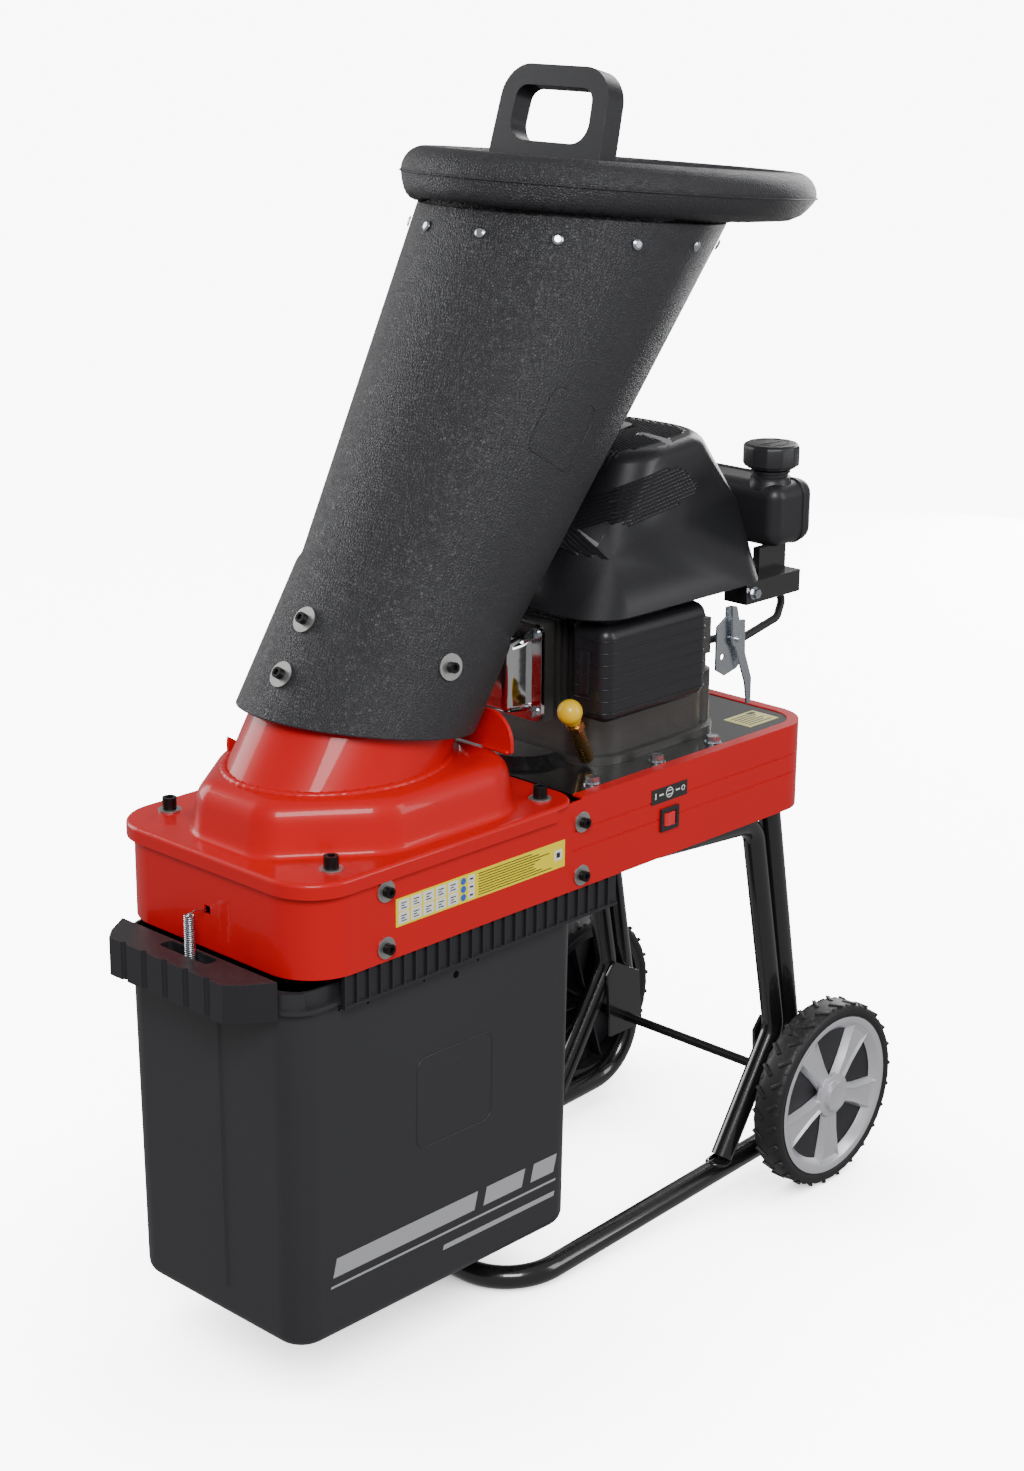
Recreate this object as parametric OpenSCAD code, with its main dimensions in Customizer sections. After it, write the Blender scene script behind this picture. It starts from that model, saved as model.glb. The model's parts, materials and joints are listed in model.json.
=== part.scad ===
/* [Deck] */
// Width of the red deck across the machine
deck_w = 262; // [260:1:268]
// Height of the deck's lower edge above the floor
deck_z = 408; // [404:1:410]
// Height of the deck's side walls
deck_h = 89; // [86:1:92]
// Thickness of the pressed sheet steel
sheet = 2; // [1.5:0.5:2.5]

/* [Frame] */
// Outer diameter of the frame tubes
tube_d = 23; // [20:1:23]
// Distance between the middles of the left and right tubes
frame_w = 232; // [224:1:232]
// Wall of the frame tubes
tube_wall = 1.5; // [1:0.5:3]

/* [Wheels] */
// Wheel diameter over the tread
wheel_d = 200; // [190:1:204]
// Width of the tyre
tyre_w = 34; // [28:1:36]
// Distance between the middles of the two wheels
track = 340; // [334:1:346]
// Axle diameter
axle_d = 10; // [8:1:12]

/* [Chute] */
// Lean of the feed chute from upright, in degrees
chute_lean = 32.6; // [31:0.2:33]
// Length of the chute along its axis
chute_len = 530; // [520:5:560]
// Wall of the moulded chute
chute_wall = 4; // [3:0.5:5]

/* [Bin] */
// Length of the catch bin
bin_l = 360; // [350:1:362]
// Width of the catch bin body
bin_w = 234; // [226:1:236]
// Height of the bin's floor above the ground
bin_z = 53; // [50:1:70]

/* [Drive] */
// Drive pulley diameter
pulley_a = 70; // [60:1:76]
// Driven pulley diameter
pulley_b = 100; // [90:1:104]

/* [Hidden] */
$fn = 48;
hull_fn = 28;

// Places along the machine: plus X is the engine end, zero is the middle of the footprint
axle_x = 313;
deck_front = -364;
seam_x = -39;
deck_rear = 325;
deck_top = deck_z + deck_h;
half_deck = deck_w / 2;
corner_r = 50;
plate_top = deck_top - 1;
plate_t = 3;
plate_under = plate_top - plate_t;
engine_x = 135;
rotor_x = -205;
gap = 0.3;
running = 0.05;
fit_r = axle_d / 2 + running;

red = [0.78, 0.03, 0.06];
black = [0.06, 0.06, 0.065];
steel = [0.7, 0.71, 0.73];
cast = [0.55, 0.55, 0.54];
yellow = [0.95, 0.8, 0.1];

// ---------- general shapes ----------

// A rectangle with round corners, standing on its lowest corner
module round_rect(x0, x1, y0, y1, r) {
    translate([x0 + r, y0]) square([x1 - x0 - 2 * r, y1 - y0]);
    translate([x0, y0 + r]) square([x1 - x0, y1 - y0 - 2 * r]);
    for (x = [x0 + r, x1 - r], y = [y0 + r, y1 - r]) translate([x, y]) circle(r = r);
}

// A box given by its lowest and highest corners
module block(a, b) {
    translate(a) cube(b - a);
}

// A box with round upright edges
module post(a, b, r) {
    translate([0, 0, a.z])
        linear_extrude(b.z - a.z) round_rect(a.x, b.x, a.y, b.y, r);
}

// A box with every edge round, as the skin of eight balls
module pillow(a, b, r) {
    hull()
        for (x = [a.x + r, b.x - r], y = [a.y + r, b.y - r], z = [a.z + r, b.z - r])
            translate([x, y, z]) sphere(r = r, $fn = hull_fn);
}

// A disc, or a ring where r_in is more than zero
module hoop(r, r_in) {
    difference() {
        circle(r = r);
        if (r_in > 0) circle(r = r_in);
    }
}

function unit(v) = v / norm(v);

// Turns the Z axis to the direction d and moves to p
module aim(p, d) {
    z = unit(d);
    side = abs(z.y) < 0.9 ? [0, 1, 0] : [1, 0, 0];
    x = unit(cross(side, z));
    y = cross(z, x);
    multmatrix([[x.x, y.x, z.x, p.x], [x.y, y.y, z.y, p.y], [x.z, y.z, z.z, p.z]]) children();
}

// The bend at corner b of the path a, b, c, hollow when r_in is more than zero
module elbow(a, b, c, bend, r, r_in) {
    u = unit(b - a);
    v = unit(c - b);
    turn = acos(u * v);
    inward = unit(v - u * (u * v));
    start = b - u * bend * tan(turn / 2);
    centre = start + inward * bend;
    w = cross(-inward, u);
    multmatrix([[-inward.x, u.x, w.x, centre.x], [-inward.y, u.y, w.y, centre.y],
                [-inward.z, u.z, w.z, centre.z]])
        rotate_extrude(angle = turn) translate([bend, 0]) hoop(r, r_in);
}

function trim_at(p, i, bend) =
    i == 0 || i == len(p) - 1 ? 0
    : bend * tan(acos(unit(p[i] - p[i - 1]) * unit(p[i + 1] - p[i])) / 2);

// Bends are joined to straight lengths with a butt seam this wide
seam = 0.04;

// A round bar or tube along the points p, with every corner bent to the same radius
module bar(p, bend, r, r_in = 0) {
    for (i = [0 : len(p) - 2]) {
        u = unit(p[i + 1] - p[i]);
        from = p[i] + u * (trim_at(p, i, bend) + seam);
        to = p[i + 1] - u * (trim_at(p, i + 1, bend) + seam);
        aim(from, u) linear_extrude(norm(to - from)) hoop(r, r_in);
    }
    for (i = [1 : 1 : len(p) - 2]) elbow(p[i - 1], p[i], p[i + 1], bend, r, r_in);
}

// ---------- frame ----------

base_front = -100;
base_rise = 0.0545;
base_bend = 60;
tube_r = tube_d / 2;
tube_y = frame_w / 2;
leg_slope = 0.19;
leg_x = 274;
leg_top_z = 440;
run_low_z = tube_r;
function base_z(x) = run_low_z + base_rise * (x - base_front);
function leg_at(z) = leg_x + leg_slope * (400 - z);
// The corner where the floor run would meet the leg
heel_z = base_z(337);
heel_x = leg_at(heel_z);

function leg_path(s) = [
    [base_front + base_bend, s * tube_y, base_z(base_front + base_bend)],
    [heel_x, s * tube_y, heel_z],
    [leg_at(leg_top_z), s * tube_y, leg_top_z]];

module base_tube() {
    color(black) bar([
        leg_path(1)[2], leg_path(1)[1], [base_front, tube_y, base_z(base_front)],
        [base_front, -tube_y, base_z(base_front)], leg_path(-1)[1], leg_path(-1)[2]],
        base_bend, tube_r, tube_r - tube_wall);
}

// The kinked strut runs beside the leg, and on under the deck
kink_z = 163;
strut_gap = tube_d + 0.5;
strut_shift = strut_gap * sqrt(1 + leg_slope * leg_slope);
strut_run_x = 60;
foot_x = 214;
foot_z = base_z(foot_x) + tube_r * 0.9;

function strut_path(s) = [
    [strut_run_x, s * tube_y, 415],
    [leg_at(400) - strut_shift - 4, s * tube_y, 401],
    [leg_at(kink_z) - strut_shift, s * tube_y, kink_z],
    [foot_x, s * tube_y, foot_z]];
strut_bend = 28;

module strut(s) {
    color(black) difference() {
        bar(strut_path(s), strut_bend, tube_r, tube_r - tube_wall);
        aim(leg_path(s)[0], leg_path(s)[1] - leg_path(s)[0])
            cylinder(r = tube_r + 0.02, h = heel_x - base_front);
    }
}

module strut_left() { strut(1); }
module strut_right() { strut(-1); }

axle_z = wheel_d / 2;
plate_y = tube_y - tube_r - 4.2;
plate_thick = 4;

module axle_plate() {
    difference() {
        translate([0, plate_y, 0]) rotate([90, 0, 0]) mirror([0, 0, 1])
            linear_extrude(plate_thick) polygon([
                [axle_x - 28, 84], [axle_x + 26, 84], [axle_x + 18, 150], [axle_x - 22, 172],
                [axle_x - 34, 158]]);
        translate([axle_x, 0, axle_z]) rotate([-90, 0, 0])
            cylinder(r = axle_d / 2, h = track);
    }
}

module axle_plates() {
    color(black) {
        axle_plate();
        mirror([0, 1, 0]) axle_plate();
    }
}

axle_end = track / 2 + tyre_w / 2 + 1;

module wheel_axle() {
    color(black) translate([axle_x, -axle_end, axle_z]) rotate([-90, 0, 0])
        cylinder(r = axle_d / 2, h = 2 * axle_end);
}

// Collars that keep each wheel from sliding inwards
hub_half = 15;
collar_l = 6;
hub_inner = track / 2 - hub_half;

module axle_ring() {
    translate([axle_x, hub_inner - collar_l - gap, axle_z]) rotate([-90, 0, 0])
        difference() {
            cylinder(r = 9, h = collar_l);
            translate([0, 0, -1]) cylinder(r = axle_d / 2, h = collar_l + 2);
        }
}

module axle_rings() {
    color(steel) {
        axle_ring();
        mirror([0, 1, 0]) axle_ring();
    }
}

// ---------- wheels ----------

rim_r = wheel_d / 2 * 0.888;
tyre_r = wheel_d / 2;
tyre_in = rim_r - 3;
shoulder = 7;

module wheel_place(s) {
    translate([axle_x, s * track / 2, axle_z]) rotate([-90 * s, 0, 0]) children();
}

module tyre() {
    rotate_extrude() polygon([
        [tyre_in, -tyre_w / 2 + 1], [tyre_r - shoulder, -tyre_w / 2],
        [tyre_r - 1.5, -tyre_w / 2 + 3], [tyre_r, -tyre_w / 2 + shoulder],
        [tyre_r, tyre_w / 2 - shoulder], [tyre_r - 1.5, tyre_w / 2 - 3],
        [tyre_r - shoulder, tyre_w / 2], [tyre_in, tyre_w / 2 - 1]]);
}

module tyre_left() { color(black) wheel_place(1) tyre(); }
module tyre_right() { color(black) wheel_place(-1) tyre(); }

spokes = 5;
spoke_root = 15;
spoke_tip = 26;
face_z = tyre_w / 2 - 3;

module wheel_rim() {
    difference() {
        union() {
            // Barrel under the tyre with a dark web at mid width
            rotate_extrude() polygon([
                [tyre_in - 5, -tyre_w / 2 + 2], [tyre_in - gap / 3, -tyre_w / 2 + 2],
                [tyre_in - gap / 3, tyre_w / 2 - 1.2], [tyre_in - 12, tyre_w / 2 - 4],
                [tyre_in - 12, tyre_w / 2 - 7], [tyre_in - 5, tyre_w / 2 - 7]]);
            cylinder(r = tyre_in - 4, h = 3);
            translate([0, 0, -hub_half]) cylinder(r = 17, h = 2 * hub_half);
            for (i = [0 : spokes - 1]) rotate([0, 0, 90 + i * 360 / spokes])
                linear_extrude(face_z) polygon([
                    [10, -spoke_root / 2], [tyre_in - 8, -spoke_tip / 2],
                    [tyre_in - 8, spoke_tip / 2], [10, spoke_root / 2]]);
        }
        translate([0, 0, -hub_half - 1]) cylinder(r = fit_r, h = 2 * hub_half + 10);
    }
}

module rim_left() { color(steel) wheel_place(1) wheel_rim(); }
module rim_right() { color(steel) wheel_place(-1) wheel_rim(); }

module hub_cap() {
    difference() {
        translate([0, 0, hub_half + 0.2]) union() {
            cylinder(r = 15, h = 3);
            translate([0, 0, 3]) cylinder(r1 = 15, r2 = 12, h = 2.5);
        }
        cylinder(r = axle_d / 2 + gap, h = tyre_w / 2 + 1 + gap);
    }
}

module hub_cap_left() { color(steel) wheel_place(1) hub_cap(); }
module hub_cap_right() { color(steel) wheel_place(-1) hub_cap(); }

// ---------- deck ----------

side_screw_x = [-276, -27];
side_screw_z = [deck_z + 13, deck_z + 65];
lid_screw_x = [-316, -58];
lid_screw_y = 107;
deck_bolt_x = [10, 102, 186];
deck_bolt_y = 110;
flange_w = 12;
joggle = 28;
screw_r = 3;
lid_screw_r = 4;
hole_play = 0.3;
bezel_x = 97;
bezel_z = deck_z + 38;
hook_z = deck_z + 36;

// The side screws' shanks, on both sides of the deck
module side_drills(r) {
    for (x = side_screw_x, z = side_screw_z, s = [-1, 1])
        translate([x, s * (half_deck + 4), z]) rotate([90 * s, 0, 0]) cylinder(r = r, h = 24);
}

module front_outline(inset) {
    intersection() {
        round_rect(deck_front + inset, seam_x + 200, -half_deck + inset, half_deck - inset,
                   corner_r - inset);
        translate([deck_front - 1, -deck_w]) square([seam_x - deck_front + 1, 2 * deck_w]);
    }
}

// Red sheet tub round the cutting chamber, with tabs that carry the lid and the skirt
module front_tub() {
    wall_h = deck_h - sheet - 1;
    color(red) difference() {
        union() {
            translate([0, 0, deck_z]) linear_extrude(wall_h) difference() {
                front_outline(0);
                front_outline(sheet);
            }
            for (s = [-1, 1]) {
                y = s * (half_deck - 1.5 * sheet - 0.1);
                translate([seam_x - joggle, y - sheet / 2, deck_z + 14])
                    cube([2 * joggle - 2, sheet, wall_h - 16]);
                for (x = lid_screw_x)
                    translate([x - 14, s * (lid_screw_y + 1) - 21, deck_top - sheet - 5])
                        cube([28, 42, 4]);
            }
        }
        side_drills(screw_r + hole_play);
        for (x = lid_screw_x, s = [-1, 1])
            translate([x, s * lid_screw_y, deck_z]) cylinder(r = lid_screw_r + hole_play, h = deck_h);
        translate([deck_front - 1, -4, hook_z - 4]) cube([sheet + 2, 8, 8]);
        difference() {
            translate([deck_front - 40, -deck_w, 0]) cube([deck_w * 4, deck_w * 2, deck_top + 9]);
            translate([0, 0, -1]) linear_extrude(deck_top + 20) union() {
                front_outline(0);
                translate([seam_x - 1, -half_deck]) square([60, deck_w]);
            }
        }
    }
}

module rear_outline(inset) {
    intersection() {
        round_rect(seam_x - 200, deck_rear - inset, -half_deck + inset, half_deck - inset,
                   corner_r - 6 - inset);
        translate([seam_x, -deck_w]) square([deck_rear - seam_x, 2 * deck_w]);
    }
}

skirt_groove = 0.8;

module groove(z) {
    translate([0, 0, z]) linear_extrude(2) difference() {
        rear_outline(-1);
        rear_outline(skirt_groove);
    }
}

// Red skirt round the belt, with a flange turned in at the top
module rear_skirt() {
    color(red) difference() {
        union() {
            translate([0, 0, deck_z]) linear_extrude(deck_h) difference() {
                rear_outline(0);
                rear_outline(sheet);
            }
            translate([0, 0, deck_top - sheet]) linear_extrude(sheet) difference() {
                rear_outline(0.5);
                rear_outline(flange_w);
            }
        }
        translate([seam_x - 1, -half_deck - 1, deck_top - sheet - 0.5])
            cube([lid_rear + 1 - seam_x + 1, 2 * half_deck + 2, 10]);
        groove(deck_z + 38);
        groove(deck_z + 57);
        side_drills(screw_r + hole_play);
        translate([bezel_x - 11, -half_deck - 1, bezel_z - 9.5]) cube([22, 5, 19]);
    }
}

crank_hole = 18;
bulge_x = 6;

// Black deck plate that carries the engine, with a pressed bulge ahead of it
module deck_plate() {
    color(black) difference() {
        union() {
            translate([0, 0, plate_under]) linear_extrude(plate_t)
                intersection() {
                    rear_outline(flange_w + gap);
                    translate([seam_x + 14, -deck_w]) square([deck_w * 2, deck_w * 2]);
                }
            translate([bulge_x + 26, 0, plate_top - 0.01]) intersection() {
                cylinder(r1 = 54, r2 = 40, h = 9);
                translate([-80, -80, 0]) cube([84, 160, 20]);
            }
        }
        translate([engine_x, 0, plate_under - 1]) cylinder(r = crank_hole, h = plate_t + 2);
        for (x = deck_bolt_x, s = [-1, 1])
            translate([x, s * deck_bolt_y, plate_under - 1]) cylinder(r = 4 + hole_play, h = 9);
    }
}

module hex_bolt(r, head, shank) {
    cylinder(r = r * 2.1, h = 1.6);
    translate([0, 0, 1.6]) cylinder(r = r * 1.65, h = head, $fn = 6);
    translate([0, 0, -shank]) cylinder(r = r, h = shank + 0.1);
}

module deck_bolts() {
    color(steel) for (x = deck_bolt_x, s = [-1, 1])
        translate([x, s * deck_bolt_y, plate_top]) hex_bolt(4, 6, 12);
}

// ---------- lid and inlet ----------

lid_over = 4;
lid_rear = -28;
lid_corner = 47;
lid_rear_r = 32;
lid_skirt_end = -64;
lid_skirt = 14;
dome_h = 48;
dome_round = 15;
dome_points = [[-342, 48], [-252, 116], [-106, 116], [-74, 88]];
lid_hole_r = lid_screw_r + hole_play;

module lid_outline(inset) {
    half = half_deck + lid_over - inset;
    intersection() {
        round_rect(deck_front - lid_over + inset, lid_rear + 100, -half, half, lid_corner - inset);
        round_rect(deck_front - 100, lid_rear - inset, -half, half, lid_rear_r - inset);
    }
}

// The raised housing over the cutting disc, as the skin of round posts at its corners
module dome(inset) {
    hull() for (p = dome_points, s = [-1, 1]) {
        c = [p.x > -150 ? p.x - dome_round : p.x + dome_round, s * (p.y - dome_round)];
        translate([c.x, c.y, deck_top - sheet]) cylinder(r = dome_round - inset, h = 1, $fn = hull_fn);
        translate([c.x, c.y, deck_top + dome_h - dome_round])
            sphere(r = dome_round - inset, $fn = hull_fn);
    }
}

chute_dir = [sin(chute_lean), 0, cos(chute_lean)];
chute_foot = [-186, 0, 581];
neck_r = 90;
neck_top = 72;

module along_chute(s) {
    translate(chute_foot) rotate([0, chute_lean, 0]) translate([0, 0, s]) children();
}

dome_top = deck_top + dome_h;

module lid_pan() {
    color(red) difference() {
        union() {
            translate([0, 0, deck_top - lid_skirt]) linear_extrude(lid_skirt) difference() {
                lid_outline(0);
                lid_outline(sheet);
                translate([lid_skirt_end, -deck_w]) square(2 * deck_w);
            }
            translate([0, 0, deck_top - sheet]) linear_extrude(sheet) lid_outline(0.5);
            dome(0);
        }
        translate([0, 0, -0.01]) dome(sheet);
        intersection() {
            along_chute(-120) cylinder(r = neck_r - 2, h = 160);
            translate([deck_front, -half_deck, dome_top - sheet - 1])
                cube([-deck_front, deck_w, sheet + 3]);
        }
        for (x = lid_screw_x, s = [-1, 1])
            translate([x, s * lid_screw_y, deck_z]) cylinder(r = lid_hole_r, h = deck_h + 5);
    }
}

gusset_x = -88;
gusset_half = 98;
gusset_h = 36;
neck_wall = 3;

// Red pipe that the chute slips over, with its rear stiffener and side ear
module inlet_neck() {
    color(red) difference() {
        union() {
            along_chute(-100) cylinder(r = neck_r, h = 100 + neck_top);
            difference() {
                union() {
                    translate([gusset_x, 0, dome_top]) rotate([90, 0, 90]) linear_extrude(4)
                        round_rect(-gusset_half, gusset_half, -40, gusset_h, 28);
                    translate([-238, neck_r - 2, dome_top]) rotate([90, 0, 0]) linear_extrude(3)
                        round_rect(-26, 26, -30, 26, 18);
                }
                along_chute(-60) cylinder(r = sleeve_r + 1, h = 300);
            }
        }
        along_chute(-120) cylinder(r = neck_r - neck_wall, h = 300);
        translate([-deck_w * 2, -deck_w, dome_top - 200]) cube([deck_w * 4, deck_w * 2, 200.02]);
    }
}

floor_z = deck_z + 38;
floor_t = 4;
housing_r = 34;
housing_top = floor_z + floor_t + 8;
shaft_r = 12.5;

// Floor of the cutting chamber, with the bearing housing and the windows chips drop through
module chamber_floor() {
    color(black) difference() {
        union() {
            translate([0, 0, floor_z]) linear_extrude(floor_t) difference() {
                front_outline(sheet + 3);
                translate([seam_x - 8, -deck_w]) square([20, deck_w * 2]);
            }
            translate([rotor_x, 0, floor_z]) cylinder(r = housing_r, h = housing_top - floor_z);
        }
        translate([rotor_x, 0, floor_z - 1]) cylinder(r = shaft_r + running, h = 40);
        for (s = [-1, 1]) translate([rotor_x - 105, s * 82 - 28, floor_z - 1]) cube([210, 56, floor_t + 2]);
        translate([deck_front + 12, -80, floor_z - 1]) cube([36, 160, floor_t + 2]);
        side_drills(screw_r + 1);
    }
}

guard_half = 62;
guard_z = deck_z + 6;

// Black tray that keeps chips off the belt
module belt_guard() {
    color(black) difference() {
        post([rotor_x - guard_half, -guard_half, guard_z],
             [engine_x + guard_half, guard_half, floor_z - gap], 30);
        post([rotor_x - guard_half + 1.5, -guard_half + 1.5, guard_z + 1.5],
             [engine_x + guard_half - 1.5, guard_half - 1.5, floor_z + 5], 28.5);
    }
}

washer_t = 1.6;
chute_washer_r = 12;

module cap_screw(r, head_r, head_h, shank) {
    difference() {
        cylinder(r = head_r, h = head_h);
        translate([0, 0, head_h - 3]) cylinder(r = r * 0.95, h = 4, $fn = 6);
    }
    translate([0, 0, -shank]) cylinder(r = r, h = shank + 0.1);
}

module ring(r_out, r_in, t) {
    difference() {
        cylinder(r = r_out, h = t);
        translate([0, 0, -1]) cylinder(r = r_in, h = t + 2);
    }
}

module at_side_screws() {
    for (x = side_screw_x, z = side_screw_z, s = [-1, 1])
        translate([x, s * half_deck, z]) rotate([-90 * s, 0, 0]) children();
}

module at_lid_screws() {
    for (x = lid_screw_x, s = [-1, 1]) translate([x, s * lid_screw_y, deck_top]) children();
}

// Angle round the chute, counted from its rear, and distance along its axis
chute_screws = [[180, 0], [180, 52], [-101, 62], [101, 62]];
sleeve_r = 104;

module at_chute_screws() {
    for (p = chute_screws)
        along_chute(p[1]) rotate([0, 0, p[0]]) translate([sleeve_r + 0.05, 0, 0]) rotate([0, 90, 0])
            children();
}

module cap_screws() {
    color(black) {
        at_side_screws() translate([0, 0, washer_t]) cap_screw(screw_r, 5, 6, 12);
        at_lid_screws() translate([0, 0, washer_t]) cap_screw(lid_screw_r, 6.6, 11, 14);
        at_chute_screws() translate([0, 0, washer_t]) cap_screw(screw_r, 5, 6, 9);
    }
}

module washers() {
    color(steel) {
        at_side_screws() ring(10, screw_r + hole_play, washer_t);
        at_lid_screws() ring(10.5, lid_screw_r + hole_play, washer_t);
        at_chute_screws() ring(chute_washer_r, screw_r + hole_play, washer_t);
    }
}

// ---------- chute ----------

collar_s = 112;
mouth_r = 134.5;
mouth_s = 501;
flare = (mouth_r - sleeve_r + 2) / (mouth_s - collar_s - 5);
rim_tilt = 5.6;
rim_c = [150, 0, 1026];
rim_n = [sin(rim_tilt), 0, cos(rim_tilt)];
sleeve_tilt = 10.7;
chute_cut = -32;

module chute_profile() {
    polygon([
        [sleeve_r - 8, -60], [sleeve_r, -60], [sleeve_r, collar_s],
        [sleeve_r - 2, collar_s + 5],
        [sleeve_r - 2 + flare * (chute_len + 60 - collar_s), chute_len + 60],
        [sleeve_r - 2 - chute_wall + flare * (chute_len + 60 - collar_s), chute_len + 60],
        [sleeve_r - 2 - chute_wall, collar_s + 5], [sleeve_r - 8, collar_s - 6]]);
}

// Black moulded chute: a straight sleeve over the neck, then a cone, cut level at both ends
module feed_chute() {
    color(black) difference() {
        along_chute(0) rotate_extrude() chute_profile();
        translate(chute_foot) rotate([0, sleeve_tilt, 0])
            translate([-300, -300, -300]) cube([600, 600, 300]);
        translate(rim_c) rotate([0, rim_tilt, 0])
            translate([-400, -400, chute_cut]) cube([800, 800, 400]);
        at_chute_screws() translate([0, 0, -14]) cylinder(r = screw_r + hole_play, h = 20);
    }
}

rim_fn = 64;

// One ring of the rim: middle, half length, half width and height in the rim's own frame
function oval(c, a, b, z) = [for (i = [0 : rim_fn - 1])
    let (t = i * 360 / rim_fn)
    rim_c + [cos(rim_tilt) * (c + a * cos(t)) + sin(rim_tilt) * z, b * sin(t),
             cos(rim_tilt) * z - sin(rim_tilt) * (c + a * cos(t))]];

rim_rings = [
    [-14, 207, 146, -26], [-10, 217, 158, -16], [-3, 224, 167, -2], [-3, 225, 168, 4],
    [-3, 222, 165, 14], [-3, 215, 158, 21], [-3, 206, 149, 24.5], [-3, 197, 140, 24],
    [-4, 189, 132, 17], [-7, 185, 130, 6], [-36, 160, 128.5, -14], [-62, 142, 126, -26],
    [-71, 139.5, 123.5, -44], [-71, 137, 121, -44], [-62, 139.5, 123.5, -31],
    [-62, 141, 125, -31.5], [-60, 148, 133, -31.5], [-36, 165, 132, -18], [-7, 190, 135, 0],
    [-4, 193, 137, 14], [-3, 201, 145, 20], [-3, 210, 153, 18], [-3, 218, 161, 10],
    [-3, 221, 164, 0], [-10, 213, 154, -14], [-14, 203, 142, -26]];

// Flared rim on the mouth of the chute, a closed strip of oval rings
module chute_rim() {
    rows = len(rim_rings);
    points = [for (r = rim_rings) each oval(r[0], r[1], r[2], r[3])];
    faces = [for (j = [0 : rows - 1], i = [0 : rim_fn - 1])
        let (a = j * rim_fn + i, b = j * rim_fn + (i + 1) % rim_fn,
             c = ((j + 1) % rows) * rim_fn + (i + 1) % rim_fn, d = ((j + 1) % rows) * rim_fn + i)
        each [[a, b, c], [a, c, d]]];
    color(black) polyhedron(points = points, faces = faces);
}

rivet_level = -45;
rivet_count = 12;

// Distance along the axis at which the chute's skin meets the level of the rivets
function rivet_s(t) =
    let (e = [cos(chute_lean), 0, -sin(chute_lean)],
         r0 = sleeve_r - 2 - flare * (collar_s + 5),
         k = rim_n * (rim_c - chute_foot) + rivet_level - r0 * cos(t) * (rim_n * e))
    k / (rim_n * chute_dir + flare * cos(t) * (rim_n * e));

module chute_rivets() {
    color(steel) for (i = [0 : rivet_count - 1]) {
        t = 15 + i * 360 / rivet_count;
        s = rivet_s(t);
        along_chute(s) rotate([0, 0, t])
            translate([sleeve_r - 2 + flare * (s - collar_s - 5) + 0.62, 0, 0])
            rotate([0, 90 + atan(flare), 0]) union() {
                cylinder(r = 5, h = 0.9);
                translate([0, 0, 0.9]) cylinder(r1 = 5, r2 = 3, h = 1.3);
            }
    }
}

flap_t = 3;

// Slit rubber disc that stops chips flying back
module kickback_flap() {
    color(black) along_chute(neck_top) difference() {
        cylinder(r = neck_r + 2, h = flap_t);
        for (i = [0 : 3]) rotate([0, 0, 22 + i * 45])
            translate([-neck_r + 16, -1.5, -1]) cube([2 * neck_r - 32, 3, flap_t + 2]);
    }
}

// ---------- pusher ----------

pusher_lean = 14.7;
grip_c = [58, 0, 1044];
grip_w = 138;
grip_h = 94;
grip_t = 22;
blade_w = 104;
blade_l = 300;
blade_t = 8;

module on_pusher() {
    translate(grip_c) rotate([0, pusher_lean, 0]) children();
}

// Ring handle: tapered sides, round top corners and a finger hole with a crowned bar
module grip_outline() {
    half = grip_w / 2;
    polygon([[-half, 4], [-half + 4, 0], [half - 4, 0], [half, 4], [half - 7, grip_h - 28],
             [-half + 7, grip_h - 28]]);
    for (s = [-1, 1]) translate([s * (half - 35), grip_h - 28]) circle(r = 28);
    translate([-half + 35, grip_h - 30]) square([grip_w - 70, 30]);
}

module grip_hole() {
    half = grip_w / 2 - 18;
    difference() {
        union() {
            translate([-half, 40]) square([2 * half, 30]);
            translate([-half + 6, 60]) square([2 * half - 12, 16]);
            for (s = [-1, 1]) translate([s * (half - 10), 66]) circle(r = 10);
            intersection() {
                translate([0, 62]) circle(r = 52);
                translate([-half, 0]) square([2 * half, 50]);
            }
        }
        translate([0, 70 + 96]) circle(r = 94);
    }
}

module pusher_handle() {
    color(black) on_pusher() rotate([90, 0, 90]) translate([0, 0, -grip_t / 2])
        linear_extrude(grip_t) difference() {
            grip_outline();
            grip_hole();
        }
}

module pusher_blade() {
    color(black) on_pusher() rotate([90, 0, 90]) translate([0, 0, -blade_t / 2]) {
        linear_extrude(blade_t) round_rect(-blade_w / 2, blade_w / 2, -blade_l, -0.02, 12);
        for (s = [-1, 1]) translate([s * 34 - 2, -blade_l + 14, -6])
            cube([4, blade_l - 20, blade_t + 12]);
    }
}

// ---------- catch bin ----------

rail_x0 = -322;
rail_x1 = 28;
rail_z = deck_z - 32;
rail_wall = 2;
rib_deep = 2.5;
rib_pitch = 14;
rail_y = half_deck - sheet - gap;
ledge_in = 119.5;

module bin_rail() {
    difference() {
        union() {
            translate([rail_x0, rail_y - rib_deep - rail_wall, rail_z])
                cube([rail_x1 - rail_x0, rail_wall, 34 + 26]);
            translate([rail_x0, ledge_in, rail_z])
                cube([rail_x1 - rail_x0, rail_y - ledge_in, 3]);
            translate([rail_x0, rail_y - rib_deep - 1, deck_z + 5])
                cube([rail_x1 - rail_x0, rib_deep + 1, 6]);
            for (x = [rail_x0 : rib_pitch : rail_x1 - 2])
                translate([x, rail_y - rib_deep - 1, rail_z]) cube([2.5, rib_deep + 1, 40]);
        }
        side_drills(screw_r + hole_play);
    }
}

module bin_rails() {
    color(black) {
        bin_rail();
        mirror([0, 1, 0]) bin_rail();
    }
}

bin_front = -370;
bin_top = deck_z - 10;
bin_wall = 3;
bin_corner = 28;
bin_draft = 3;
bin_floor_r = 14;
rim_z = deck_z - 28.5;

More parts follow.
